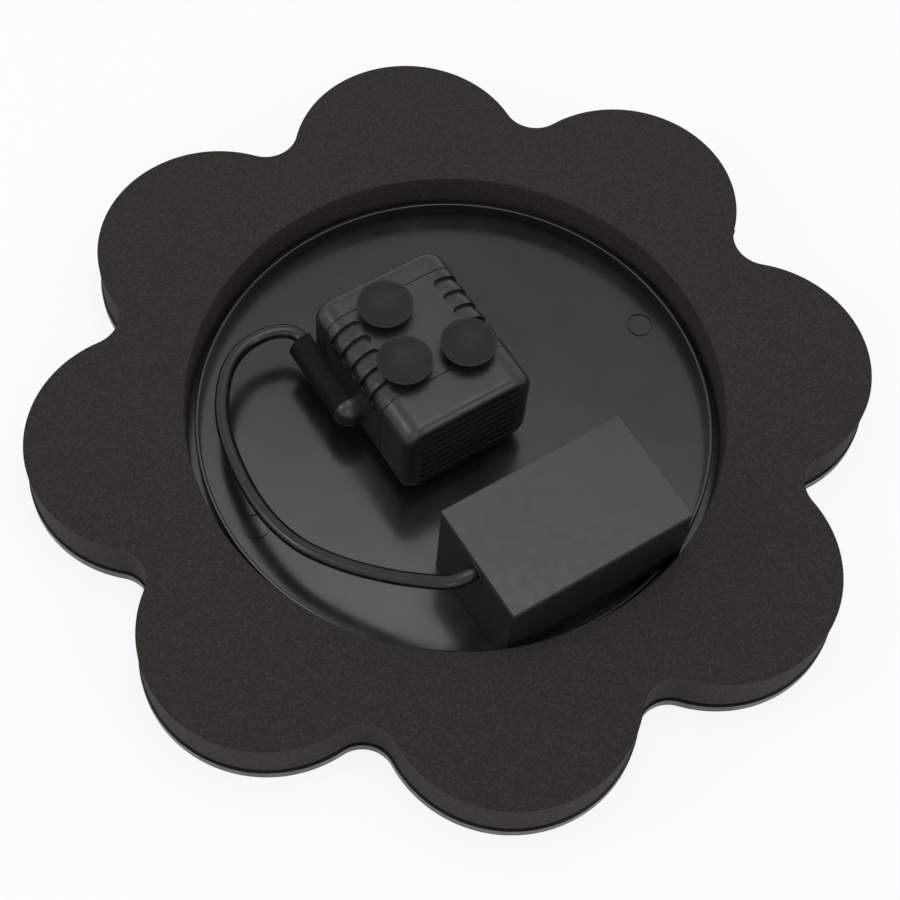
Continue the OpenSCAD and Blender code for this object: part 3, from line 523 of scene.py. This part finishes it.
tray = start_outline("panel_dish", (collar_bore, 0, collar_low))
line_by(0, 0, collar_top - collar_low)
line_by(collar_wall, 0, 0)
line_by(0, 0, floor_top - collar_top)
line_by(rim_inside - collar_bore - collar_wall, 0, 0)
line_by(0, 0, rim_top - floor_top)
line_by(rim_wall, 0, 0)
line_by(0, 0, floor_top - rim_top)
line_by(flange, 0, 0)
line_by(0, 0, floor_low - floor_top)
line_by(collar_bore + collar_wall - rim_inside - rim_wall - flange, 0, 0)
line_by(0, 0, collar_low - floor_low)
line_by(-collar_wall, 0, 0)
bpy.ops.mesh.select_all(action="SELECT")
bpy.ops.mesh.remove_doubles(threshold=1e-6)
arc_by(360, (0, 0, 0), (0, 0, 1), 256)
pick(tray, "EDGE", lambda edge: all(v.co.z > rounded_above for v in edge.verts)
     and abs(edge.verts[0].co.length - edge.verts[1].co.length) < 0.01*mm)
bpy.ops.mesh.bevel(offset=rim_rounding, segments=3, affect="EDGES")
close_up(tray)


def block(name, low, high):
    """A block between two corners, left open for shaping"""
    bpy.ops.object.select_all(action="DESELECT")
    bpy.ops.mesh.primitive_cube_add(size=1, location=(0, 0, 0), enter_editmode=True)
    piece = bpy.context.object
    piece.name = piece.data.name = name
    bpy.ops.transform.resize(value=[h - l for l, h in zip(low, high)])
    bpy.ops.transform.translate(value=[(l + h)/2 for l, h in zip(low, high)])
    return piece


tray_tool = block("tray_tool", (-box_side - box_room, box_front - box_room, floor_top - box_seat),
                  (box_side + box_room, box_back + box_room, rim_top + tool_past))
bpy.ops.object.mode_set(mode="OBJECT")
carve(tray, tray_tool)
for side in (-1, 1):
    pin_mark = start_outline("pin_mark_tool", (side*pin_at + pin_radius, 0, floor_top - pin_groove))
    line_by(pin_groove, 0, 0)
    line_by(0, 0, 2*pin_groove)
    line_by(-pin_groove, 0, 0)
    line_by(0, 0, -2*pin_groove)
    bpy.ops.mesh.select_all(action="SELECT")
    arc_by(360, (side*pin_at, 0, 0), (0, 0, 1), 64)
    carve(tray, close_up(pin_mark))
finish_edges(tray, 0.03*mm, 1, 80)

gloss_finish = new_finish("glossy black ABS", (0.009, 0.009, 0.0095), 0.2, Specular_IOR_Level=0.46)
tint(gloss_finish, mottle(gloss_finish, 60, 4),
     [(0.3, (0.007, 0.007, 0.0075)), (0.7, (0.012, 0.012, 0.0125))])
polish(gloss_finish, mottle(gloss_finish, 90, 5), 0.15, 0.24)
relief(gloss_finish, mottle(gloss_finish, 22, 1), 0.12, 0.0004)
relief(gloss_finish, mottle(gloss_finish, 2600, 2), 0.04, 0.00002)
settle(tray, "root", "gloss_black", gloss_finish, "panel_tray")

# Battery box
# A square-edged case of satin ABS that stands on the tray's floor, its walls 2 mm thick,
# with a round hole for the cable and a glued lid plate that a low rib inside the walls
# registers. The rib is notched for the cable's end.
lid_low, lid_top = 34.8*mm, 36*mm
wall = 2*mm
entry_y, entry_z, entry_radius = -51*mm, 30.7*mm, 3*mm
rib_gap, rib_wide, rib_high = 0.1*mm, 1.2*mm, 1*mm
notch_half, notch_low, notch_long, notch_past = 4*mm, 1.8*mm, 4.5*mm, 0.3*mm

case = block("battery_case", (-box_side, box_front, floor_top), (box_side, box_back, lid_low))
pick(case, "FACE", lambda face: abs(face.normal.z) > 0.9)
bpy.ops.mesh.inset(thickness=wall, use_individual=True)
bpy.ops.mesh.bridge_edge_loops()
close_up(case)
bpy.ops.object.select_all(action="DESELECT")
bpy.ops.mesh.primitive_cylinder_add(
    vertices=48, radius=entry_radius, depth=3*wall, location=(-box_side, entry_y, entry_z),
    rotation=(0, math.pi/2, 0))
carve(case, bpy.context.object)
finish_edges(case, 0.4*mm, 3)

lid = block("case_lid", (-box_side, box_front, lid_low), (box_side, box_back, lid_top))
pick(lid, "FACE", lambda face: face.normal.z < -0.9)
bpy.ops.mesh.inset(thickness=wall + rib_gap)
pull(0, 0, -rib_high)
bpy.ops.mesh.inset(thickness=rib_wide)
pull(0, 0, rib_high)
close_up(lid)
notch_tool = block("notch_tool", (-box_side - notch_past, entry_y - notch_half, lid_low - notch_low),
                   (-box_side + notch_long, entry_y + notch_half, lid_low))
bpy.ops.object.mode_set(mode="OBJECT")
carve(lid, notch_tool)
finish_edges(lid, 0.32*mm, 3)

satin_finish = new_finish("satin black ABS", (0.009, 0.009, 0.0093), 0.36, Specular_IOR_Level=0.5)
tint(satin_finish, mottle(satin_finish, 45, 4),
     [(0.3, (0.0075, 0.0075, 0.0078)), (0.7, (0.011, 0.011, 0.0113))])
polish(satin_finish, mottle(satin_finish, 400, 5), 0.32, 0.42)
relief(satin_finish, mottle(satin_finish, 1700, 3), 0.1, 0.00003)
settle(case, "root", "satin_black", satin_finish, "battery_box")
settle(lid, "root", "satin_black", satin_finish, "box_lid")

# Cable end in the box's wall
# A moulded plug of soft PVC round the cable: a collar that fills the hole in the wall,
# with a flange inside that the sealing compound grips.
soft_finish = new_finish("soft black PVC", (0.014, 0.014, 0.014), 0.5, Specular_IOR_Level=0.4)
tint(soft_finish, mottle(soft_finish, 400, 3),
     [(0.3, (0.011, 0.011, 0.011)), (0.7, (0.02, 0.02, 0.02))])
relief(soft_finish, mottle(soft_finish, 2400, 2), 0.2, 0.00004)

end_radius, end_flange = 2.9*mm, 1*mm
grommet = start_outline("wall_cable_end", (-box_side, entry_y, entry_z))
line_by(0, 0, end_radius)
line_by(wall, 0, 0)
line_by(0, 0, end_flange)
line_by(end_flange, 0, 0)
line_by(0, 0, -end_radius - end_flange)
bpy.ops.mesh.select_all(action="SELECT")
arc_by(360, (0, entry_y, entry_z), (1, 0, 0), 48)
close_up(grommet)
finish_edges(grommet, 0.25*mm, 3, 50)
settle(grommet, "root", "soft_rubber", soft_finish, "cable_grommet")

# Cells and control board
# Two 14500 lithium cells in blue shrink wrap, joined by spot-welded nickel strips and held
# to the lid by foam tape, over the board that charges them and switches the pump.
wrap_finish = new_finish("blue cell wrap", (0.03, 0.12, 0.32), 0.28, Coat_Weight=0.4)
tint(wrap_finish, mottle(wrap_finish, 180, 4), [(0.3, (0.024, 0.1, 0.27)), (0.7, (0.04, 0.15, 0.38))])
relief(wrap_finish, mottle(wrap_finish, 500, 3, (0.15, 1, 1)), 0.15, 0.0001)
for cell in ("battery_cell_1", "battery_cell_2"):
    dress(cell, wrap_finish)
nickel_finish = new_finish("nickel strip", (0.6, 0.58, 0.53), 0.32, Metallic=1.0)
polish(nickel_finish, mottle(nickel_finish, 1500, 3, (1, 0.1, 1)), 0.25, 0.45)
relief(nickel_finish, mottle(nickel_finish, 2500, 2, (1, 0.1, 1)), 0.1, 0.00002)
dress("cell_tabs", nickel_finish)
tape_finish = new_finish("white foam tape", (0.72, 0.69, 0.62), 0.9)
tint(tape_finish, mottle(tape_finish, 1600, 3), [(0.35, (0.6, 0.57, 0.5)), (0.65, (0.78, 0.75, 0.69))])
relief(tape_finish, mottle(tape_finish, 1600, 3), 0.5, 0.0001)
dress("cell_tape", tape_finish)
parts_finish = new_finish("black component cases", (0.02, 0.02, 0.021), 0.5)
tint(parts_finish, mottle(parts_finish, 600, 3),
     [(0.3, (0.014, 0.014, 0.015)), (0.7, (0.03, 0.03, 0.031))])
relief(parts_finish, mottle(parts_finish, 3000, 2), 0.25, 0.00003)
dress("board_parts", parts_finish)
potting_finish = new_finish("black sealing resin", (0.008, 0.008, 0.008), 0.2)
tint(potting_finish, mottle(potting_finish, 80, 3),
     [(0.3, (0.006, 0.006, 0.006)), (0.7, (0.012, 0.012, 0.011))])
relief(potting_finish, mottle(potting_finish, 120, 2), 0.4, 0.0004)
for resin in ("box_potting", "motor_potting"):
    dress(resin, potting_finish)

# Pump motor
# The sealed motor: a thin well keeps the water from a ring of stamped steel with four
# wound poles and its driver board, all behind the sealing compound of the rear cap.
well_finish = new_finish("grey-black well", (0.03, 0.03, 0.027), 0.4)
tint(well_finish, mottle(well_finish, 150, 4),
     [(0.3, (0.024, 0.024, 0.021)), (0.7, (0.04, 0.04, 0.036))])
relief(well_finish, mottle(well_finish, 2000, 2), 0.15, 0.00003)
dress("rotor_well", well_finish)
sheet_thick, sheet_joint = 0.5*mm, 0.12*mm
steel_finish = new_finish("stacked steel sheets", (0.32, 0.32, 0.31), 0.45, Metallic=1.0)
sheet_lines = stripes(steel_finish, "Y", sheet_thick, sheet_joint)
tint(steel_finish, blended(steel_finish, sheet_lines, mottle(steel_finish, 700, 3), 0.4),
     [(0.1, (0.36, 0.35, 0.33)), (0.3, (0.24, 0.235, 0.225)), (0.7, (0.09, 0.085, 0.08))])
relief(steel_finish, sheet_lines, 0.4, 0.00006)
dress("stator_core", steel_finish)
wire_pitch, wire_groove = 0.28*mm, 0.07*mm
copper_finish = new_finish("enamelled copper wire", (0.52, 0.2, 0.07), 0.3, Metallic=0.9)
# Painted shade: the grooves between the wire's turns are coloured dark copper, besides being sunk by
# the relief
shaded_wire_grooves = either(copper_finish, stripes(copper_finish, "X", wire_pitch, wire_groove),
                  stripes(copper_finish, "Z", wire_pitch, wire_groove))
tint(copper_finish, shaded_wire_grooves, [(0.2, (0.56, 0.22, 0.08)), (0.8, (0.16, 0.05, 0.015))])
relief(copper_finish, shaded_wire_grooves, 0.5, 0.00008)
for coil in range(1, 5):
    dress(f"stator_coil_{coil}", copper_finish)

# Pump sleeve
# The middle of the pump's housing, in fine-textured black ABS: a tube of rounded section
# with five grip louvres down each long edge, and the cable's domed housing on its left side.
pump_x = -5.1*mm
pump_low, pump_high = 7.0*mm, 37.4*mm
pump_half = 20*mm
pump_left, pump_right = pump_x - pump_half, pump_x + pump_half
edge_radius = 6.5*mm
pump_wall = 1.8*mm
sleeve_front, sleeve_back = -0.6*mm, 27.8*mm
gland_x, gland_z, gland_radius = -26.4*mm, 16.4*mm, 5*mm
gland_front, gland_back, gland_web = 13*mm, 36.8*mm, 1.35*mm
gland_bore, gland_bore_deep = 2.8*mm, 8.1*mm
louvre_tip, louvre_back, louvre_pitch = 11.6*mm, 25.1*mm, 5*mm
louvre_long, louvre_deep, louvre_round, louvre_runout = 3.4*mm, 0.9*mm, 1.6*mm, 0.02*mm
spout_hole, spout_hole_deep = 5.8*mm, 4*mm
stem_hole, stem_deep = 2.3*mm, 1.2*mm


def runs_along(edge, axis):
    """Whether an edge runs along an axis, which is 0, 1 or 2"""
    return abs((edge.verts[0].co - edge.verts[1].co).normalized()[axis]) > 0.9


def round_long_edges(piece):
    """Rounds the four edges of a housing that run along the pump"""
    pick(piece, "EDGE", lambda edge: runs_along(edge, 1))
    bpy.ops.mesh.bevel(offset=edge_radius, segments=12, affect="EDGES")


sleeve = block("pump_sleeve_shell", (pump_left, sleeve_front, pump_low),
               (pump_right, sleeve_back, pump_high))
round_long_edges(sleeve)
pick(sleeve, "FACE", lambda face: abs(face.normal.y) > 0.9)
bpy.ops.mesh.inset(thickness=pump_wall, use_individual=True)
bpy.ops.mesh.bridge_edge_loops()
close_up(sleeve)

# The cable's housing is half a round rod with a domed front, on a short web to the sleeve
gland = start_outline("gland_tool", (gland_x, gland_front - gland_radius, gland_z))
arc_by(-90, (gland_x, gland_front, gland_z), (1, 0, 0), 12)
line_by(0, gland_back - gland_front, 0)
line_by(0, 0, -gland_radius)
bpy.ops.mesh.select_all(action="SELECT")
arc_by(-180, (gland_x, 0, gland_z), (0, 1, 0), 28)
bpy.ops.mesh.select_all(action="SELECT")
bpy.ops.mesh.remove_doubles(threshold=1e-6)
pick(gland, "EDGE", lambda edge: edge.is_boundary)
bpy.ops.mesh.edge_face_add()
pull(gland_web, 0, 0)
close_up(gland)
carve(sleeve, gland, "UNION")


def draw_louvre(side, step_y):
    """Wedge that a louvre cuts: from its round tip on top, round the long edge to the flank"""
    tip_x = pump_x + side*louvre_tip
    edge_x = pump_x + side*(pump_half - edge_radius)
    edge_z = pump_high - edge_radius
    tool = start_outline("louvre_tool", (tip_x, step_y, pump_high - louvre_deep))
    line_by(0, 0, louvre_deep + tool_past)
    line_by(0, -louvre_long, 0)
    line_by(0, 0, louvre_runout - tool_past)
    bpy.ops.mesh.select_all(action="SELECT")
    bpy.ops.mesh.edge_face_add()
    pull(edge_x - tip_x, 0, 0)
    arc_by(side*90, (edge_x, 0, edge_z), (0, 1, 0), 12)
    pick(tool, "EDGE", lambda edge: all(abs(v.co.x - tip_x) < 1e-6 for v in edge.verts)
         and runs_along(edge, 2))
    bpy.ops.mesh.bevel(offset=louvre_round, segments=6, affect="EDGES")
    return close_up(tool)


louvre_tools = []
for number in range(5):
    for side in (-1, 1):
        louvre_tools.append(draw_louvre(side, louvre_back - number*louvre_pitch))
for tool in louvre_tools:
    tool.select_set(True)
bpy.ops.object.join()
carve(sleeve, bpy.context.object)

cup_places = ((-9.1*mm, 23.54*mm), (-13.7*mm, 6.07*mm), (3.7*mm, 2.24*mm))
bpy.ops.object.select_all(action="DESELECT")
bpy.ops.mesh.primitive_cylinder_add(
    vertices=48, radius=spout_hole, depth=2*spout_hole_deep, location=(0, 0, pump_low),
    enter_editmode=True)
for x, y in cup_places:
    bpy.ops.mesh.primitive_cylinder_add(
        vertices=32, radius=stem_hole, depth=2*stem_deep, location=(x, y, pump_high))
bpy.ops.object.mode_set(mode="OBJECT")
carve(sleeve, bpy.context.object)


def gland_drill():
    """The tool for the bore that the cable's moulded end fills"""
    bpy.ops.object.select_all(action="DESELECT")
    bpy.ops.mesh.primitive_cylinder_add(
        vertices=36, radius=gland_bore, depth=2*gland_bore_deep,
        location=(gland_x, gland_back, gland_z), rotation=(math.pi/2, 0, 0))
    return bpy.context.object


carve(sleeve, gland_drill())

# The louvres' cuts leave doubled points where they meet the rounded edges, which are joined here
bpy.ops.object.mode_set(mode="EDIT")
close_up(sleeve)
finish_edges(sleeve, 0.24*mm, 3, 50)

pump_finish = new_finish(
    "fine-textured black ABS", (0.0095, 0.0095, 0.0097), 0.34, Specular_IOR_Level=0.47)
tint(pump_finish, mottle(pump_finish, 70, 5),
     [(0.3, (0.0075, 0.0075, 0.0077)), (0.7, (0.012, 0.012, 0.0122))])
polish(pump_finish, mottle(pump_finish, 220, 5), 0.27, 0.4)
relief(pump_finish, mottle(pump_finish, 2300, 3), 0.14, 0.00005)
settle(sleeve, "pump", "pump_black", pump_finish, "pump_sleeve")

# The cable's housing is dull from spark erosion of its mould, but for its polished dome
spark_finish = new_finish("spark-eroded dull ABS", (0.005, 0.005, 0.005), 0.62, Specular_IOR_Level=0.1)
tint(spark_finish, mottle(spark_finish, 900, 4),
     [(0.35, (0.003, 0.003, 0.003)), (0.68, (0.008, 0.008, 0.008))])
polish(spark_finish, mottle(spark_finish, 500, 4), 0.5, 0.75)
relief(spark_finish, mottle(spark_finish, 1500, 3), 0.4, 0.00008)
sleeve.data.materials.append(spark_finish)
for face in sleeve.data.polygons:
    on_housing = face.center.x < pump_left - 0.05*mm and face.center.y > gland_front + 0.2*mm
    face.material_index = 1 if on_housing and face.normal.y < 0.5 else 0

# Rear cap
# The closed end of the housing, with softly rounded edges. A spigot inside the sleeve
# registers it, and solvent welds it over the motor's sealing compound.
cap_back, cap_rounding = 35.5*mm, 3.5*mm
seam = 0.26*mm
spigot_gap = 0.1*mm
cap_spigot, cap_spigot_wall, cap_hollow = 1.4*mm, 1.2*mm, 7.1*mm

cap = block("pump_rear_cap", (pump_left, sleeve_back + seam, pump_low),
            (pump_right, cap_back, pump_high))
round_long_edges(cap)
pick(cap, "EDGE", lambda edge: all(abs(v.co.y - cap_back) < 1e-6 for v in edge.verts))
bpy.ops.mesh.bevel(offset=cap_rounding, segments=8, affect="EDGES")
pick(cap, "FACE", lambda face: face.normal.y < -0.9)
bpy.ops.mesh.inset(thickness=pump_wall + spigot_gap)
pull(0, -cap_spigot, 0)
bpy.ops.mesh.inset(thickness=cap_spigot_wall)
pull(0, cap_hollow, 0)
close_up(cap)
carve(cap, gland_drill())
finish_edges(cap, 0.22*mm, 3, 50)
settle(cap, "pump", "pump_black", pump_finish, "rear_cap")

# Cable end in the pump
# A plug of soft PVC moulded round the cable and glued into the bore of its housing.
plug_radius, plug_long = 2.7*mm, 8*mm
plug = start_outline("gland_cable_end", (gland_x, gland_back - plug_long, gland_z))
line_by(0, 0, plug_radius)
line_by(0, plug_long, 0)
line_by(0, 0, -plug_radius)
bpy.ops.mesh.select_all(action="SELECT")
arc_by(360, (gland_x, 0, gland_z), (0, 1, 0), 40)
close_up(plug)
finish_edges(plug, 0.2*mm, 2, 50)
settle(plug, "pump", "soft_rubber", soft_finish, "gland_seal")

# Pump chamber
# The water side: a round chamber with its spout, a front plate with a spoked inlet, and two
# red silicone seals. They show only through the grille and under the pump.
for piece in ("volute_casing", "impeller_cover"):
    dress(piece, pump_finish)
seal_finish = new_finish("red silicone", (0.16, 0.02, 0.016), 0.4)
tint(seal_finish, mottle(seal_finish, 500, 3),
     [(0.3, (0.12, 0.015, 0.012)), (0.7, (0.2, 0.028, 0.022))])
relief(seal_finish, mottle(seal_finish, 1800, 2), 0.15, 0.00003)
for ring in ("casing_gasket", "outlet_seal"):
    dress(ring, seal_finish)
ceramic_finish = new_finish("polished ceramic", (0.78, 0.77, 0.72), 0.18)
tint(ceramic_finish, mottle(ceramic_finish, 900, 3),
     [(0.3, (0.74, 0.73, 0.68)), (0.7, (0.82, 0.81, 0.77))])
relief(ceramic_finish, mottle(ceramic_finish, 3000, 2, (1, 0.05, 1)), 0.08, 0.00001)
dress("rotor_shaft", ceramic_finish)
bush_finish = new_finish("bearing plastic", (0.08, 0.08, 0.075), 0.45)
tint(bush_finish, mottle(bush_finish, 900, 3), [(0.3, (0.06, 0.06, 0.056)), (0.7, (0.1, 0.1, 0.095))])
relief(bush_finish, mottle(bush_finish, 2500, 2), 0.15, 0.00002)
for bush in ("front_bush", "rear_bush"):
    dress(bush, bush_finish)

# Rotor
# A sintered ferrite magnet pressed on the stem of an impeller moulded in natural POM,
# which turns on the fixed ceramic shaft.
magnet_finish = new_finish("sintered ferrite", (0.06, 0.06, 0.065), 0.5, Metallic=0.3)
tint(magnet_finish, mottle(magnet_finish, 1500, 4),
     [(0.3, (0.04, 0.04, 0.044)), (0.7, (0.09, 0.09, 0.095))])
relief(magnet_finish, mottle(magnet_finish, 1800, 4), 0.35, 0.00008)
dress("rotor_magnet", magnet_finish)
impeller_finish = new_finish("natural POM", (0.7, 0.68, 0.61), 0.35, Subsurface_Weight=0.1)
tint(impeller_finish, mottle(impeller_finish, 200, 3),
     [(0.3, (0.66, 0.64, 0.57)), (0.7, (0.74, 0.72, 0.66))])
relief(impeller_finish, mottle(impeller_finish, 1800, 2), 0.12, 0.00003)
dress("impeller", impeller_finish)

# Strainer cover
# The front of the pump, which pulls off for cleaning: a cap of the same section with nine
# slots across its front, and a spigot that slides into the sleeve.
front_face, front_rounding = -13.6*mm, 3*mm
cover_inset, cover_spigot, cover_spigot_wall, cover_hollow = 2.1*mm, 2.6*mm, 1.1*mm, 14*mm
slots, slot_pitch, slot_half_long, slot_half_high = 9, 3*mm, 15*mm, 0.75*mm
slot_deep, slot_rounding = 2.6*mm, 0.6*mm
spout_cut_long, spout_cut_high = 3*mm, 4.2*mm

cover = block("strainer_shell", (pump_left, front_face, pump_low),
              (pump_right, sleeve_front - seam, pump_high))
round_long_edges(cover)
pick(cover, "EDGE", lambda edge: all(abs(v.co.y - front_face) < 1e-6 for v in edge.verts))
bpy.ops.mesh.bevel(offset=front_rounding, segments=8, affect="EDGES")
pick(cover, "FACE", lambda face: face.normal.y > 0.9)
bpy.ops.mesh.inset(thickness=cover_inset)
pull(0, cover_spigot, 0)
bpy.ops.mesh.inset(thickness=cover_spigot_wall)
pull(0, -cover_hollow, 0)
close_up(cover)

slot_tools = []
for number in range(slots):
    slot_z = (pump_low + pump_high)/2 + (number - (slots - 1)/2)*slot_pitch
    slot_tools.append(
        block("slot_tool", (pump_x - slot_half_long, front_face - tool_past, slot_z - slot_half_high),
              (pump_x + slot_half_long, front_face + slot_deep, slot_z + slot_half_high)))
    pick(slot_tools[-1], "EDGE", lambda edge: runs_along(edge, 1))
    bpy.ops.mesh.bevel(offset=slot_rounding, segments=4, affect="EDGES")
    bpy.ops.object.mode_set(mode="OBJECT")
for tool in slot_tools:
    tool.select_set(True)
bpy.ops.object.join()
carve(cover, bpy.context.object)
spout_tool = block("spout_tool", (-spout_hole, 0, pump_low - tool_past),
                   (spout_hole, spout_cut_long, pump_low + spout_cut_high))
bpy.ops.object.mode_set(mode="OBJECT")
carve(cover, spout_tool)
bpy.ops.object.select_all(action="DESELECT")
bpy.ops.mesh.primitive_cylinder_add(
    vertices=48, radius=spout_hole, depth=2*spout_cut_high, location=(0, 0, pump_low))
carve(cover, bpy.context.object)
finish_edges(cover, 0.2*mm, 3, 50)
settle(cover, "strainer", "pump_black", pump_finish, "strainer_cover")

# Suction cups
# Three dishes of soft matte PVC, each with a stem that plugs into the pump's top face.
cup_finish = new_finish("matte grey-black PVC", (0.0115, 0.0115, 0.0112), 0.5, Specular_IOR_Level=0.22)
tint(cup_finish, mottle(cup_finish, 160, 4),
     [(0.3, (0.0095, 0.0095, 0.0092)), (0.7, (0.0135, 0.0135, 0.0132))])
relief(cup_finish, mottle(cup_finish, 2600, 3), 0.15, 0.00004)
polish(cup_finish, mottle(cup_finish, 300, 3), 0.44, 0.58)

# Two arcs about middles above the cup draw its round back and its hollow
stem_low, stem_radius, stem_high = 36.2*mm, 2.2*mm, 1.925*mm
back_middle_z, back_turn = 48.77*mm, 32.68
hollow_middle_z, hollow_turn = 51.52*mm, 34.2
cup_lip = 0.45*mm
for number, (x, y) in enumerate(cup_places, 1):
    cup = start_outline(f"suction_dish_{number}", (x, y, stem_low))
    line_by(stem_radius, 0, 0)
    line_by(0, 0, stem_high)
    arc_by(-back_turn, (x, y, back_middle_z), (0, 1, 0), 12)
    line_by(-cup_lip, 0, 0)
    arc_by(hollow_turn, (x, y, hollow_middle_z), (0, 1, 0), 14)
    bpy.ops.mesh.select_all(action="SELECT")
    arc_by(360, (x, y, 0), (0, 0, 1), 72)
    close_up(cup)
    finish_edges(cup, 0.18*mm, 3, 45)
    settle(cup, "pump", "cup_rubber", cup_finish, f"suction_cup_{number}")

# Cable
# A round two-core cable in a satin black PVC jacket, 4 mm thick. It leaves the pump's cable
# housing backwards, turns round the pump in one wide curve and rises to the box's wall.
cable_points = [Vector(point)*mm for point in (
    (-26.4, 36.8, 16.4), (-26.6, 40, 16.4), (-29, 43.1, 16.4), (-34.4, 45, 16.4),
    (-41.6, 44.4, 16.4), (-48.4, 40.6, 16.5), (-54.2, 33.6, 16.6), (-58.6, 24.6, 16.8),
    (-61.1, 13.8, 17), (-62.2, 2.6, 17.6), (-61.6, -8, 18.6), (-58.8, -18.4, 20.2),
    (-53, -28.8, 22.4), (-46, -38, 25), (-39.6, -45, 27.6), (-34.4, -49.6, 29.6),
    (-30.6, -50.9, 30.6), (-27.5, -51, 30.7))]
cable_last = len(cable_points) - 1
cable_steps = 5
cable_radius = 2*mm


def cable_slope(number):
    """Direction of the cable at one of its points"""
    if number == 0:
        return Vector((0, 1, 0))*(cable_points[1] - cable_points[0]).length
    if number == cable_last:
        return Vector((1, 0, 0))*(cable_points[-1] - cable_points[-2]).length
    return (cable_points[number + 1] - cable_points[number - 1])/2


cable_line = []
for number in range(cable_last):
    for step in range(cable_steps):
        t = step/cable_steps
        cable_line.append(
            (2*t**3 - 3*t**2 + 1)*cable_points[number] + (t**3 - 2*t**2 + t)*cable_slope(number)
            + (3*t**2 - 2*t**3)*cable_points[number + 1] + (t**3 - t**2)*cable_slope(number + 1))
cable_line.append(cable_points[-1])

cable_curve = bpy.data.curves.new("round_cable", "CURVE")
cable_curve.dimensions = "3D"
cable_curve.bevel_depth = cable_radius
cable_curve.bevel_resolution = 6
cable_curve.use_fill_caps = True
cable_spline = cable_curve.splines.new("POLY")
cable_spline.points.add(len(cable_line) - 1)
for point, at in zip(cable_spline.points, cable_line):
    point.co = (*at, 1)
cable = bpy.data.objects.new("round_cable", cable_curve)
bpy.context.collection.objects.link(cable)
bpy.ops.object.select_all(action="DESELECT")
cable.select_set(True)
bpy.context.view_layer.objects.active = cable
bpy.ops.object.convert(target="MESH")
cable = bpy.context.object
bpy.ops.object.shade_smooth_by_angle(angle=math.radians(50))

cable_finish = new_finish(
    "satin black cable jacket", (0.006, 0.006, 0.006), 0.26, Specular_IOR_Level=0.4)
tint(cable_finish, mottle(cable_finish, 240, 4),
     [(0.3, (0.0045, 0.0045, 0.0045)), (0.7, (0.008, 0.008, 0.008))])
polish(cable_finish, mottle(cable_finish, 420, 4), 0.2, 0.32)
relief(cable_finish, mottle(cable_finish, 1800, 3), 0.12, 0.00005)
cable.data.materials.clear()
cable.data.materials.append(cable_finish)
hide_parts("pump_cable")
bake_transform(cable)
